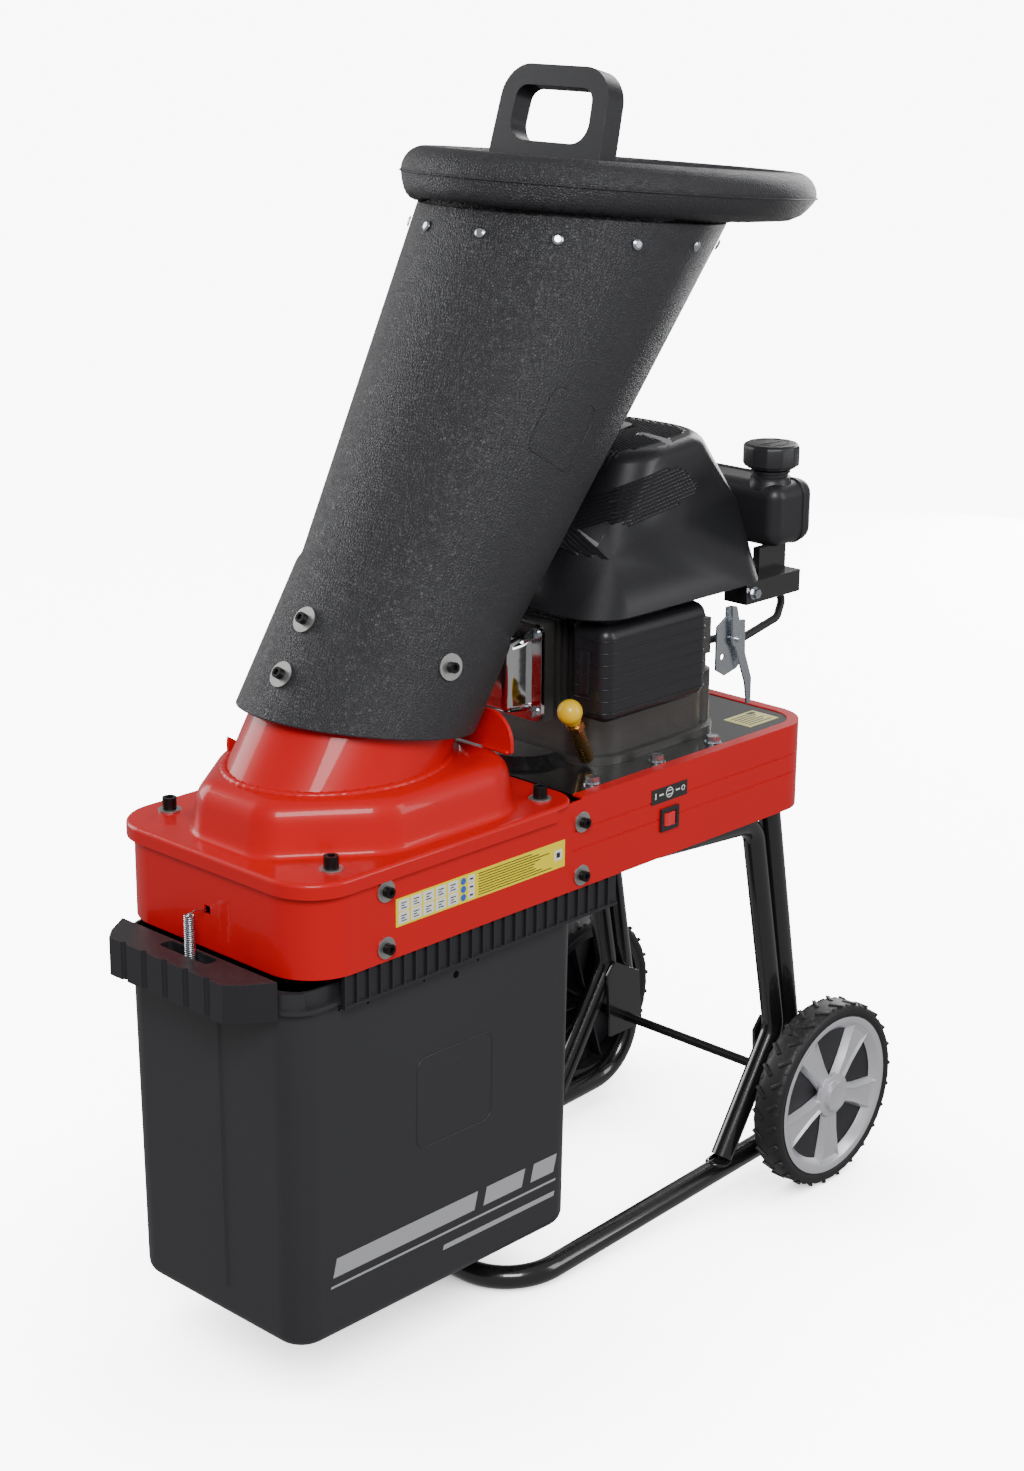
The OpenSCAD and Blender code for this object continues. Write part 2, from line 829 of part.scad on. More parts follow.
module bin_skin(inset, top) {
    half = bin_w / 2;
    hull() for (x = [0, 1], s = [-1, 1]) {
        translate([x == 0 ? bin_front + bin_corner : bin_front + bin_l - bin_corner,
                   s * (half - bin_corner), top - 1]) cylinder(r = bin_corner - inset, h = 1, $fn = hull_fn);
        translate([x == 0 ? bin_front + bin_corner + bin_draft : bin_front + bin_l - bin_corner - 1,
                   s * (half - bin_corner - bin_draft), bin_z]) union() {
            translate([0, 0, bin_floor_r]) rotate_extrude($fn = hull_fn)
                translate([bin_corner - bin_floor_r, 0]) circle(r = bin_floor_r - inset, $fn = hull_fn);
        }
    }
}

module bin_rim_outline(x0, half, r) {
    round_rect(x0, bin_front + bin_l + 4, -half, half, r);
}

// Moulded bin with a rim that rides on the rails
module catch_bin() {
    color(black) difference() {
        union() {
            bin_skin(0, bin_top);
            translate([0, 0, rim_z]) linear_extrude(4)
                bin_rim_outline(bin_front - 6, bin_w / 2 + 6, 32);
            intersection() {
                translate([0, 0, rim_z]) linear_extrude(bin_top - rim_z)
                    bin_rim_outline(bin_front - 6, bin_w / 2 + 2, 32);
                translate([bin_front - 10, -200, rim_z]) cube([24, 400, 60]);
            }
        }
        bin_skin(bin_wall, bin_top + 10);
    }
}

grip_front = -413;
grip_back = bin_front - 6 - 0.02;
grip_z0 = rim_z - 4;
grip_z1 = deck_z + 3;
grip_side = 84;
scallops = 5;
slot_half = 32;

// Carrying grip on the front of the bin, scalloped for the fingers, with a slot through it
module bin_handle() {
    color(black) difference() {
        translate([0, 0, grip_z0]) linear_extrude(grip_z1 - grip_z0) difference() {
            union() {
                polygon([[grip_front, -grip_side + 8], [grip_front, grip_side - 8],
                         [grip_front + 12, grip_side + 4], [grip_back, grip_side + 20],
                         [grip_back, -grip_side - 20], [grip_front + 12, -grip_side - 4]]);
            }
            for (i = [0 : scallops - 1])
                translate([grip_front - 1, (i - (scallops - 1) / 2) * 28]) circle(r = 4);
            translate([0, -slot_half]) round_rect(-393, grip_back - 3, 0, 2 * slot_half, 4);
        }
        translate([grip_front + 7, -grip_side + 4, grip_z0 - 1])
            cube([12, 2 * grip_side - 8, 22]);
    }
}

spring_x = -384;
spring_wire = 0.9;
spring_turn_r = 3.7;
spring_turns = 21;
spring_z0 = grip_z1 - 1;

// Close-wound tension spring between the grip's slot and the tub's front
module latch_spring() {
    top = spring_z0 + (spring_turns - 1) * 1.7;
    color(steel) {
        translate([spring_x, 0, spring_z0]) rotate_extrude() {
            for (i = [0 : spring_turns - 1]) translate([spring_turn_r, i * 1.7]) circle(r = spring_wire);
            translate([spring_turn_r - 0.5, 0]) square([1, (spring_turns - 1) * 1.7]);
        }
        bar([[spring_x + spring_turn_r, 0, spring_z0 + 20], [spring_x + spring_turn_r, 0, hook_z],
             [deck_front + 0.5, 0, hook_z]], 3, spring_wire);
        bar([[spring_x - spring_turn_r, 0, spring_z0 + 10], [spring_x - spring_turn_r, 0, grip_z1 - 14],
             [spring_x - spring_turn_r - 4.4, 0, grip_z1 - 14]], 2, spring_wire);
    }
}

// ---------- labels and switch ----------

plate_gap = 0.02;
label_t = 0.4;

module side_label() {
    color(yellow) for (s = [-1, 1])
        translate([-264, s * (half_deck + plate_gap + label_t / 2) - label_t / 2, deck_z + 28])
            cube([214, label_t, 26]);
}

module switch_label() {
    color(black) translate([bezel_x - 26, -half_deck - plate_gap - label_t, deck_z + 56])
        cube([52, label_t, 15]);
}

module rear_label() {
    color(yellow) translate([252, -104, plate_top + plate_gap]) cube([46, 34, label_t]);
}

module switch_bezel() {
    color(black) translate([bezel_x, 0, bezel_z]) difference() {
        union() {
            translate([-13, -half_deck - 2.5, -11.5]) cube([26, 2.4, 23]);
            translate([-10.5, -half_deck - 0.2, -9]) cube([21, 16, 18]);
        }
        translate([-8.9, -half_deck - 5, -7]) cube([17.8, 17, 14]);
    }
}

rocker_y = -half_deck + 4;

module switch_rocker() {
    color(red) translate([bezel_x, rocker_y, bezel_z - 6.5]) linear_extrude(13) difference() {
        union() {
            intersection() {
                circle(r = 9.4);
                translate([-7.8, -9]) square([15.6, 9]);
            }
            circle(r = 3);
        }
        translate([0, -20]) circle(r = 12.5);
    }
}

// ---------- engine ----------

case_x0 = 38;
case_x1 = 236;
case_y = 88;
case_z = plate_top + 0.02;
body_r = 62;
boss_h = 60;
body_top = 640;
cyl_z = 590;
fin = 96;
head_x = 8;
barrel_l = 64;
shaft_hole = shaft_r + running;

// Aluminium crankcase on a wide mounting foot
module crankcase() {
    color(cast) difference() {
        union() {
            post([case_x0, -case_y, case_z], [case_x1, case_y, case_z + 8], 40);
            post([case_x0 + 8, -case_y + 8, case_z], [case_x1 - 8, case_y - 8, 541], 40);
            translate([engine_x, 0, 540]) cylinder(r = body_r, h = body_top - 540);
            translate([head_x + barrel_l + 0.02, -46, 536]) cube([37, 92, 99]);
            for (x = [205, 232 - 8], s = [-1, 1]) translate([x - 4, s * 62, case_z])
                cylinder(r = 11, h = boss_h);
        }
        translate([engine_x, 0, case_z - 1]) cylinder(r = shaft_hole, h = 200);
        oil_tube(filler_r + gap);
    }
}

fin_count = 7;
fin_pitch = 9.5;

// Finned cylinder and head, lying forward from the crankcase
module cylinder_block() {
    translate([head_x, 0, cyl_z]) rotate([0, 90, 0]) {
        cylinder(r = 37, h = barrel_l);
        for (i = [0 : fin_count - 1]) translate([-fin / 2, -fin / 2, 2 + i * fin_pitch])
            cube([fin, fin, 3.2]);
        translate([-fin / 2, -fin / 2, 0]) cube([fin, fin, 12]);
    }
}

module cylinder_node() {
    color(cast) difference() {
        cylinder_block();
        plug_at() cylinder(r = 6.3, h = 30, center = true);
    }
}

cover_x = 3;
vc_half = 50;
vc_bolts = [[-41, -38], [41, -38], [-41, 38], [41, 38]];

module valve_cover() {
    color(steel) difference() {
        union() {
            translate([cover_x, 0, cyl_z]) rotate([90, 0, 90])
                linear_extrude(head_x - cover_x - 0.02)
                round_rect(-vc_half, vc_half, -47, 47, 10);
            hull() {
                translate([cover_x, 0, cyl_z]) rotate([90, 0, 90]) linear_extrude(1)
                    round_rect(-38, 38, -40, 38, 12);
                for (y = [-26, 26], z = [-28, 24]) translate([-17, y, cyl_z + z])
                    sphere(r = 9, $fn = hull_fn);
            }
        }
        for (p = vc_bolts) translate([-8, p.x, cyl_z + p.y]) rotate([0, 90, 0]) cylinder(r = 3.2, h = 30);
    }
}

module engine_bolts() {
    color(steel) {
        for (p = vc_bolts) translate([cover_x - 0.02, p.x, cyl_z + p.y]) rotate([0, -90, 0])
            hex_bolt(3, 5, head_x - cover_x - 0.1);
        translate([236, -114.1, 639]) rotate([90, 0, 0]) hex_bolt(3, 5, 2);
        translate([220, -62, case_z + boss_h]) hex_bolt(4, 6, 0);
    }
}

module plug_at() {
    translate([14, 49, 598]) rotate([-68, 0, 0]) children();
}

module spark_plug() {
    color("white") plug_at() {
        translate([0, 0, -6]) cylinder(r = 6, h = 10);
        translate([0, 0, 4]) cylinder(r = 9, h = 7, $fn = 6);
        translate([0, 0, 11]) cylinder(r = 5, h = 16);
        translate([0, 0, 18]) cylinder(r = 8, h = 22);
    }
}

filter_x0 = 24;
filter_x1 = 174;
filter_y = -112;
filter_z0 = 548;
filter_z1 = 642;
filter_split = -74;

module filter_base() {
    color(black) post([filter_x0 + 5, filter_split + 0.1, filter_z0 + 4],
                      [filter_x1 - 4, filter_split + 10, filter_z1 - 4], 4.9);
}

filter_ribs = 7;

// Air filter cover with a hollow inside and level grooves on its face
module filter_cover() {
    color(black) difference() {
        intersection() {
            pillow([filter_x0, filter_y, filter_z0], [filter_x1, filter_split + 30, filter_z1], 12);
            translate([0, filter_y - 1, 0]) cube([400, filter_split - filter_y + 1, 900]);
        }
        block([filter_x0 + 4, filter_y + 6, filter_z0 + 5], [filter_x1 - 5, filter_split + 5, filter_z1 - 5]);
        for (i = [1 : filter_ribs]) translate([0, 0, filter_z0 + i * 12 - 3])
            translate([filter_x0 - 5, filter_y - 5, 0]) cube([200, 6.2, 1.2]);
    }
}

carb_c = [196, -72, 596];

module carburettor() {
    color(cast) {
        block(carb_c - [14, 12, 18], carb_c + [14, 12, 18]);
        translate(carb_c - [0, 0, 36]) cylinder(r = 14, h = 18);
        translate(carb_c + [14, 0, -10]) rotate([0, 90, 0]) cylinder(r = 4, h = 8);
        translate([filter_x1 + 0.02, -68, 596]) rotate([0, 90, 0]) cylinder(r = 9, h = 9);
    }
}

shroud_z = 652;
shroud_wall = 2.5;
shroud_x0 = 10;
shroud_x1 = 258;
shroud_y = 124;
shroud_top = 796;
fan_r = 96;

module shroud_skin(inset) {
    r = 44;
    hull() {
        for (x = [shroud_x0 + r, shroud_x1 - r], s = [-1, 1])
            translate([x, s * (shroud_y - r), shroud_z - inset])
                cylinder(r = r - inset, h = x < 100 ? 26 : 60, $fn = hull_fn);
        for (x = [140, 214], s = [-1, 1])
            translate([x, s * 62, shroud_top - 26]) sphere(r = 26 - inset, $fn = hull_fn);
    }
}

// Blower housing over the flywheel, open below
module blower_cover() {
    color(black) difference() {
        shroud_skin(0);
        shroud_skin(shroud_wall);
        translate([engine_x, 0, shroud_top - 20]) cylinder(r = 40, h = 40);
    }
}

module starter_screen() {
    color(black) translate([engine_x + 30, 0, shroud_top + 0.3]) difference() {
        translate([-46, -74, 0]) linear_extrude(3) round_rect(0, 92, 0, 148, 20);
        for (i = [-8 : 8]) translate([-36, i * 8 - 1.5, -1]) cube([72, 3, 6]);
    }
}

module starter_grip() {
    color(black) {
        pillow([118, shroud_y + 14, 716], [182, shroud_y + 30, 732], 7.9);
        translate([150, shroud_y + 0.4, 724]) rotate([-90, 0, 0]) cylinder(r = 6, h = 16);
    }
}

tank_x0 = 262;
tank_x1 = 326;
tank_z0 = 677;
tank_z1 = 740;
neck_c = [287, -90];
cap_z = 752;
cap_h = 25;

module fuel_tank() {
    color(black) {
        difference() {
            post([tank_x0, -118, tank_z0], [tank_x1, 64, tank_z1], 16);
            post([tank_x0 + 3, -115, tank_z0 + 3], [tank_x1 - 3, 61, tank_z1 - 3], 13);
            translate([neck_c.x, neck_c.y, tank_z1 - 20]) cylinder(r = 17, h = 60);
        }
        translate([neck_c.x, neck_c.y, tank_z1 - 5]) ring(19, 15, 18);
        translate([272, -70, tank_z0 - 8]) cylinder(r = 4, h = 10);
    }
}

module fuel_cap() {
    color(black) translate([neck_c.x, neck_c.y, 0]) difference() {
        union() {
            translate([0, 0, cap_z + 3]) cylinder(r = 28, h = cap_h - 3, $fn = 12);
            translate([0, 0, cap_z + 1.4]) cylinder(r = 24, h = 3);
            translate([0, 0, cap_z - 6]) cylinder(r = 14.7, h = 10);
        }
        translate([0, 0, cap_z - 7]) cylinder(r = 11, h = 9);
    }
}

hose_r = 4;
// Hand-chosen corners of the fuel hose, from the tank's spigot to the carburettor
hose_route = [
    [272, -70, 668.9], [272, -70, 648], [306, -76, 634], [328, -80, 612], [314, -84, 594],
    [262, -82, 582], [236, -74, 586], [218.5, -72, 586]];

module fuel_hose() {
    color(black) bar(hose_route, 11, hose_r);
}

module tank_bracket() {
    color(black) difference() {
        union() {
            block([226, -114, 628], [310, -86, 650]);
            block([264, -98, 640], [306, -90, 676]);
        }
        block([229, -111, 624], [320, -89, 647]);
        translate([236, -108, 639]) rotate([90, 0, 0]) cylinder(r = 3.2, h = 20);
    }
}

lever_c = [238, -92, 588];

module throttle_plate() {
    color(steel) translate([0, -88, 0]) rotate([90, 0, 0]) linear_extrude(2) difference() {
        polygon([[212, 560], [212, 604], [226, 612], [226, 622], [234, 622], [240, 606], [256, 604],
                 [258, 566], [244, 556], [226, 552]]);
        translate([lever_c.x, lever_c.z]) circle(r = 3 + running);
        translate([222, 572]) circle(r = 3);
    }
}

module throttle_lever() {
    color(steel) translate([0, lever_c.y - 1.5, 0]) rotate([90, 0, 0]) {
        linear_extrude(2) union() {
            polygon([[lever_c.x - 7, lever_c.z - 2], [lever_c.x + 7, lever_c.z + 2], [236, 622],
                     [228, 624]]);
            polygon([[lever_c.x + 7, lever_c.z - 2], [lever_c.x - 6, lever_c.z], [252, 540],
                     [256, 518], [262, 518], [262, 544]]);
            translate([lever_c.x, lever_c.z]) circle(r = 8);
        }
        translate([lever_c.x, lever_c.z, -6]) cylinder(r = 3, h = 11);
    }
}

filler_from = [44, -72, 505];
filler_dir = [-40, -15, 55];
filler_len = 60;
filler_r = 7;

module oil_tube(r) {
    aim(filler_from, filler_dir) cylinder(r = r, h = filler_len);
}

module oil_filler() {
    color(brass_tint) difference() {
        union() {
            oil_tube(filler_r);
            aim(filler_from, filler_dir) translate([0, 0, filler_len - 12]) cylinder(r = 9, h = 8, $fn = 6);
        }
        aim(filler_from, filler_dir) translate([0, 0, 4]) cylinder(r = 4.5, h = filler_len);
    }
}

brass_tint = [0.72, 0.55, 0.2];

module oil_cap() {
    color(yellow) aim(filler_from, filler_dir) {
        translate([0, 0, filler_len + 13]) sphere(r = 12);
        translate([0, 0, filler_len + 0.3]) cylinder(r = 8, h = 6);
        translate([0, 0, 8]) cylinder(r = 2, h = filler_len);
    }
}

module muffler() {
    color(steel) {
        pillow([34, 66, 566], [176, 116, 640], 10);
        translate([54, 100, 560]) cylinder(r = 9, h = 20);
    }
}

// ---------- drive ----------

pulley_h = 16;
pulley_z = 422;
groove_deep = 7;

module pulley(d) {
    rotate_extrude() polygon([
        [0, 0], [d / 2, 0], [d / 2, 2.5], [d / 2 - groove_deep, 5.5],
        [d / 2 - groove_deep, pulley_h - 5.5], [d / 2, pulley_h - 2.5], [d / 2, pulley_h],
        [0, pulley_h]]);
}

module crankshaft() {
    color(cast) translate([engine_x, 0, 0]) {
        translate([0, 0, pulley_z]) pulley(pulley_a);
        translate([0, 0, pulley_z]) cylinder(r = shaft_r, h = 290);
        translate([0, 0, 664]) cylinder(r = fan_r - 22, h = 14);
        for (i = [0 : 11]) rotate([0, 0, i * 30]) translate([fan_r - 38, -1.5, 670]) cube([20, 3, 34]);
    }
}

disc_r = 104;
disc_z = housing_top + 3;

// Cutter disc with two chipping blades, its shaft and the driven pulley
module cutter_rotor() {
    color(steel) translate([rotor_x, 0, 0]) {
        translate([0, 0, pulley_z]) pulley(pulley_b);
        translate([0, 0, pulley_z]) cylinder(r = shaft_r, h = disc_z + 24 - pulley_z);
        translate([0, 0, disc_z]) cylinder(r = disc_r, h = 8);
        translate([0, 0, disc_z + 8]) cylinder(r = 20, h = 12, $fn = 6);
        for (a = [0, 180]) rotate([0, 0, a]) {
            translate([32, -8, disc_z + 8]) cube([66, 34, 6]);
            for (x = [46, 84]) translate([x, 12, disc_z + 14]) cylinder(r = 6, h = 4, $fn = 6);
            translate([disc_r - 36, -3, disc_z - 9]) cube([30, 6, 9.1]);
        }
    }
}

belt_t = 5;
belt_h = 7;

module belt_loop(extra) {
    hull() {
        translate([engine_x, 0]) circle(r = pulley_a / 2 - groove_deep + gap + extra);
        translate([rotor_x, 0]) circle(r = pulley_b / 2 - groove_deep + gap + extra);
    }
}

module drive_belt() {
    color(black) translate([0, 0, pulley_z + (pulley_h - belt_h) / 2 + 1.2])
        linear_extrude(belt_h - 2.4) difference() {
            belt_loop(belt_t);
            belt_loop(0);
        }
}

base_tube();
strut_left();
strut_right();
axle_plates();
wheel_axle();
axle_rings();
tyre_left();
tyre_right();
rim_left();
rim_right();
hub_cap_left();
hub_cap_right();
front_tub();
rear_skirt();
deck_plate();
lid_pan();
inlet_neck();
chamber_floor();
belt_guard();
cap_screws();
washers();
deck_bolts();
bin_rails();
side_label();
switch_label();
rear_label();
switch_bezel();
switch_rocker();
feed_chute();
chute_rim();
chute_rivets();
kickback_flap();
pusher_handle();
pusher_blade();
catch_bin();
bin_handle();
latch_spring();
crankcase();
cylinder_node();  // cylinder
valve_cover();
engine_bolts();
spark_plug();
filter_base();
filter_cover();
carburettor();
blower_cover();
starter_screen();
starter_grip();
fuel_tank();
fuel_cap();
fuel_hose();
tank_bracket();
throttle_plate();
throttle_lever();
oil_filler();
oil_cap();
muffler();
crankshaft();
cutter_rotor();
drive_belt();
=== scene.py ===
import bpy
import bmesh
import json
from math import sin, cos, tan, pi, radians, sqrt
from mathutils import Vector, Matrix
from mathutils.bvhtree import BVHTree


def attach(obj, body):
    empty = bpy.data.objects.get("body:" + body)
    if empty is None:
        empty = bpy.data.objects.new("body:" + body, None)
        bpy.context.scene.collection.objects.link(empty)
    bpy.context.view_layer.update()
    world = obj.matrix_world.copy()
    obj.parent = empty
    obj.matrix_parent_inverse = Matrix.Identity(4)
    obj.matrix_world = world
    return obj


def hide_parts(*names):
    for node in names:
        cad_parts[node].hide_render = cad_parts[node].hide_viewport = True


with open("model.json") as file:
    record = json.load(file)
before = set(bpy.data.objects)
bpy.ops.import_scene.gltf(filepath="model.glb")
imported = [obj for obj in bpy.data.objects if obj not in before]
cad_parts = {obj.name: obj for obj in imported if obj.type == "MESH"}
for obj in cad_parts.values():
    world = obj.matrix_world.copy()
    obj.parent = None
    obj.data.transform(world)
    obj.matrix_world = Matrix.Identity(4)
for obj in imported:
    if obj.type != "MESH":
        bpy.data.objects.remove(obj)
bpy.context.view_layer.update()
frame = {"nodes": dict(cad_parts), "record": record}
nodes = frame["nodes"]
record = frame["record"]
bodyOf = {n: b for b, names in record["behaviour"]["bodies"].items() for n in names}
mm = 0.001
print("frame loaded:", len(nodes), "nodes")

# ---------- camera, floor and light ----------

cameraSetup = {"place": (-1.692, -1.621, 1.266), "yaw": 0.759, "pitch": 0.308, "roll": 0.009, "lens": 63.15}
lightSetup = {"world": 0.36, "glow": 9, "floor": (0.9, 0.9, 0.9), "floorReach": 90, "shadowReach": 0.4,
              "lamps": {"keyLight": ((-2.2, -2.4, 2.9), (0, 0, 0.55), (1.8, 1.4), 125),
                        "sideLight": ((1.6, -2.8, 1.6), (0, 0, 0.6), (1.0, 2.0), 30),
                        "rimLightRight": ((3.0, 0.9, 1.3), (0, 0, 0.6), (1.2, 2.6), 70),
                        "rimLightLeft": ((-0.9, 3.0, 1.5), (0, 0, 0.6), (1.6, 2.2), 60)}}


def makeCamera(setup):
    yaw, pitch, roll = setup["yaw"], setup["pitch"], setup["roll"]
    ahead = Vector((cos(yaw) * cos(pitch), sin(yaw) * cos(pitch), -sin(pitch)))
    level = Vector((sin(yaw), -cos(yaw), 0))
    up = level.cross(ahead)
    right = cos(roll) * level + sin(roll) * up
    top = -sin(roll) * level + cos(roll) * up
    data = bpy.data.cameras.new("camera")
    data.lens = setup["lens"]
    data.sensor_width = 36
    camera = bpy.data.objects.new("camera", data)
    turn = Matrix((right, top, -ahead)).transposed()
    camera.matrix_world = Matrix.Translation(Vector(setup["place"])) @ turn.to_4x4()
    bpy.context.scene.collection.objects.link(camera)
    bpy.context.scene.camera = camera


def softLight(name, place, target, size, power):
    data = bpy.data.lights.new(name, "AREA")
    data.shape = "RECTANGLE"
    data.size, data.size_y = size
    data.energy = power
    lamp = bpy.data.objects.new(name, data)
    lamp.visible_camera = False
    aim = Vector(target) - Vector(place)
    lamp.matrix_world = Matrix.Translation(Vector(place)) @ aim.to_track_quat("-Z", "Y").to_matrix().to_4x4()
    bpy.context.scene.collection.objects.link(lamp)


def makeStudio(setup):
    world = bpy.data.worlds.new("studio")
    bpy.context.scene.world = world
    world.use_nodes = True
    tree = world.node_tree
    back = tree.nodes["Background"]
    back.inputs["Color"].default_value = (1, 1, 1, 1)
    # the camera sees a bright backdrop, and the object is lit by a weaker one
    rays = tree.nodes.new("ShaderNodeLightPath")
    level = tree.nodes.new("ShaderNodeMapRange")
    tree.links.new(rays.outputs["Is Camera Ray"], level.inputs[0])
    level.inputs[3].default_value = setup["world"]
    level.inputs[4].default_value = setup["glow"]
    tree.links.new(level.outputs[0], back.inputs["Strength"])
    for name, (place, target, size, power) in setup["lamps"].items():
        softLight(name, place, target, size, power)
    bm = bmesh.new()
    bmesh.ops.create_grid(bm, x_segments=8, y_segments=8, size=setup["floorReach"])
    mesh = bpy.data.meshes.new("floor")
    bm.to_mesh(mesh)
    bm.free()
    floor = bpy.data.objects.new("floor", mesh)
    bpy.context.scene.collection.objects.link(floor)
    paint = bpy.data.materials.new("paleFloor")
    paint.use_nodes = True
    shader = paint.node_tree.nodes["Principled BSDF"]
    shader.inputs["Base Color"].default_value = (*setup["floor"], 1)
    shader.inputs["Roughness"].default_value = 0.6
    shader.inputs["Emission Color"].default_value = (1, 1, 1, 1)
    shader.inputs["Emission Strength"].default_value = setup["glow"]
    # painted shadow: ambient occlusion darkens the floor's glow close to the object, standing in for its contact
    # shadow
    near = paint.node_tree.nodes.new("ShaderNodeAmbientOcclusion")
    near.inputs["Distance"].default_value = setup["shadowReach"]
    paint.node_tree.links.new(near.outputs["Color"], shader.inputs["Emission Color"])
    floor.visible_diffuse = False
    floor.visible_glossy = False
    mesh.materials.append(paint)


makeCamera(cameraSetup)
makeStudio(lightSetup)
print("camera and studio ready")

# ---------- shared shader effects ----------


def newGroup(name, ins, outs):
    group = bpy.data.node_groups.new(name, "ShaderNodeTree")
    for label, kind, value in ins:
        socket = group.interface.new_socket(label, in_out="INPUT", socket_type="NodeSocket" + kind)
        if value is not None:
            socket.default_value = value
    for label, kind in outs:
        group.interface.new_socket(label, in_out="OUTPUT", socket_type="NodeSocket" + kind)
    return group, group.nodes.new("NodeGroupInput"), group.nodes.new("NodeGroupOutput")


def join(tree, source, target):
    tree.links.new(source, target)


def mathNode(tree, kind, a, b=None, c=None, clamp=False):
    node = tree.nodes.new("ShaderNodeMath")
    node.operation = kind
    node.use_clamp = clamp
    for i, value in enumerate((a, b, c)):
        if value is None:
            continue
        if isinstance(value, (int, float)):
            node.inputs[i].default_value = value
        else:
            join(tree, value, node.inputs[i])
    return node.outputs[0]


def noiseNode(tree, vector, scale, detail=3, rough=0.5):
    node = tree.nodes.new("ShaderNodeTexNoise")
    node.inputs["Detail"].default_value = detail
    node.inputs["Roughness"].default_value = rough
    join(tree, vector, node.inputs["Vector"])
    if isinstance(scale, (int, float)):
        node.inputs["Scale"].default_value = scale
    else:
        join(tree, scale, node.inputs["Scale"])
    return node.outputs["Fac"]


def spread(tree, value, low, high, outLow=0.0, outHigh=1.0):
    node = tree.nodes.new("ShaderNodeMapRange")
    node.clamp = True
    join(tree, value, node.inputs[0])
    for i, v in enumerate((low, high, outLow, outHigh)):
        node.inputs[i + 1].default_value = v
    return node.outputs[0]


def toneGroup():
    # tone drifts slowly, fine scuffs catch the light, dust lies on faces that look up
    group, ins, outs = newGroup(
        "toneDrift",
        [("Vector", "Vector", None), ("Base", "Color", (0.5, 0.5, 0.5, 1)), ("Amount", "Float", 0.1),
         ("Scale", "Float", 6.0), ("Rough", "Float", 0.4), ("Spread", "Float", 0.08),
         ("Dust", "Float", 0.1), ("Scuff", "Float", 0.1)],
        [("Color", "Color"), ("Rough", "Float")])
    vector = ins.outputs["Vector"]
    slow = noiseNode(group, vector, ins.outputs["Scale"], 3, 0.55)
    fine = noiseNode(group, vector, 260, 2, 0.6)
    shade = mathNode(group, "MULTIPLY", mathNode(group, "SUBTRACT", slow, 0.5), ins.outputs["Amount"])
    level = mathNode(group, "ADD", shade, 1.0)
    tint = group.nodes.new("ShaderNodeVectorMath")
    tint.operation = "SCALE"
    join(group, ins.outputs["Base"], tint.inputs[0])
    join(group, level, tint.inputs["Scale"])
    # scuffs: thin broken lines from stretched noise
    stretch = group.nodes.new("ShaderNodeMapping")
    stretch.inputs["Scale"].default_value = (18, 160, 420)
    stretch.inputs["Rotation"].default_value = (0.4, 0.7, 0.3)
    join(group, vector, stretch.inputs["Vector"])
    lines = noiseNode(group, stretch.outputs[0], 1.0, 4, 0.7)
    patch = noiseNode(group, vector, 9.0, 2, 0.5)
    scuff = mathNode(group, "MULTIPLY", spread(group, lines, 0.66, 0.74), spread(group, patch, 0.56, 0.68))
    scuff = mathNode(group, "MULTIPLY", scuff, ins.outputs["Scuff"], clamp=True)
    # dust: only where the face looks up
    geo = group.nodes.new("ShaderNodeNewGeometry")
    split = group.nodes.new("ShaderNodeSeparateXYZ")
    join(group, geo.outputs["Normal"], split.inputs[0])
    up = spread(group, split.outputs["Z"], 0.55, 1.0)
    grit = spread(group, fine, 0.42, 0.75)
    dust = mathNode(group, "MULTIPLY", mathNode(group, "MULTIPLY", up, grit), ins.outputs["Dust"], clamp=True)
    pale = group.nodes.new("ShaderNodeMix")
    pale.data_type = "RGBA"
    join(group, mathNode(group, "MAXIMUM", dust, scuff), pale.inputs["Factor"])
    join(group, tint.outputs[0], pale.inputs["A"])
    pale.inputs["B"].default_value = (0.42, 0.41, 0.4, 1)
    join(group, pale.outputs["Result"], outs.inputs["Color"])
    wander = mathNode(group, "MULTIPLY", mathNode(group, "SUBTRACT", fine, 0.5), ins.outputs["Spread"])
    rough = mathNode(group, "ADD", mathNode(group, "ADD", ins.outputs["Rough"], wander),
                     mathNode(group, "MULTIPLY", dust, 0.5), clamp=True)
    join(group, rough, outs.inputs["Rough"])
    return group


def leatherGroup():
    # moulded leather grain: soft pebbles with creases between them
    group, ins, outs = newGroup("leatherGrain", [("Vector", "Vector", None), ("Scale", "Float", 420.0)],
                                [("Height", "Float")])
    bend = group.nodes.new("ShaderNodeTexNoise")
    bend.inputs["Scale"].default_value = 120
    join(group, ins.outputs["Vector"], bend.inputs["Vector"])
    shift = group.nodes.new("ShaderNodeVectorMath")
    shift.operation = "MULTIPLY_ADD"
    join(group, bend.outputs["Color"], shift.inputs[0])
    shift.inputs[1].default_value = (0.0022, 0.0022, 0.0022)
    join(group, ins.outputs["Vector"], shift.inputs[2])
    cells = group.nodes.new("ShaderNodeTexVoronoi")
    cells.feature = "DISTANCE_TO_EDGE"
    join(group, shift.outputs[0], cells.inputs["Vector"])
    join(group, ins.outputs["Scale"], cells.inputs["Scale"])
    pebble = spread(group, cells.outputs["Distance"], 0.0, 0.34)
    fine = noiseNode(group, ins.outputs["Vector"], 1500, 2, 0.6)
    join(group, mathNode(group, "ADD", pebble, mathNode(group, "MULTIPLY", fine, 0.35)), outs.inputs["Height"])
    return group


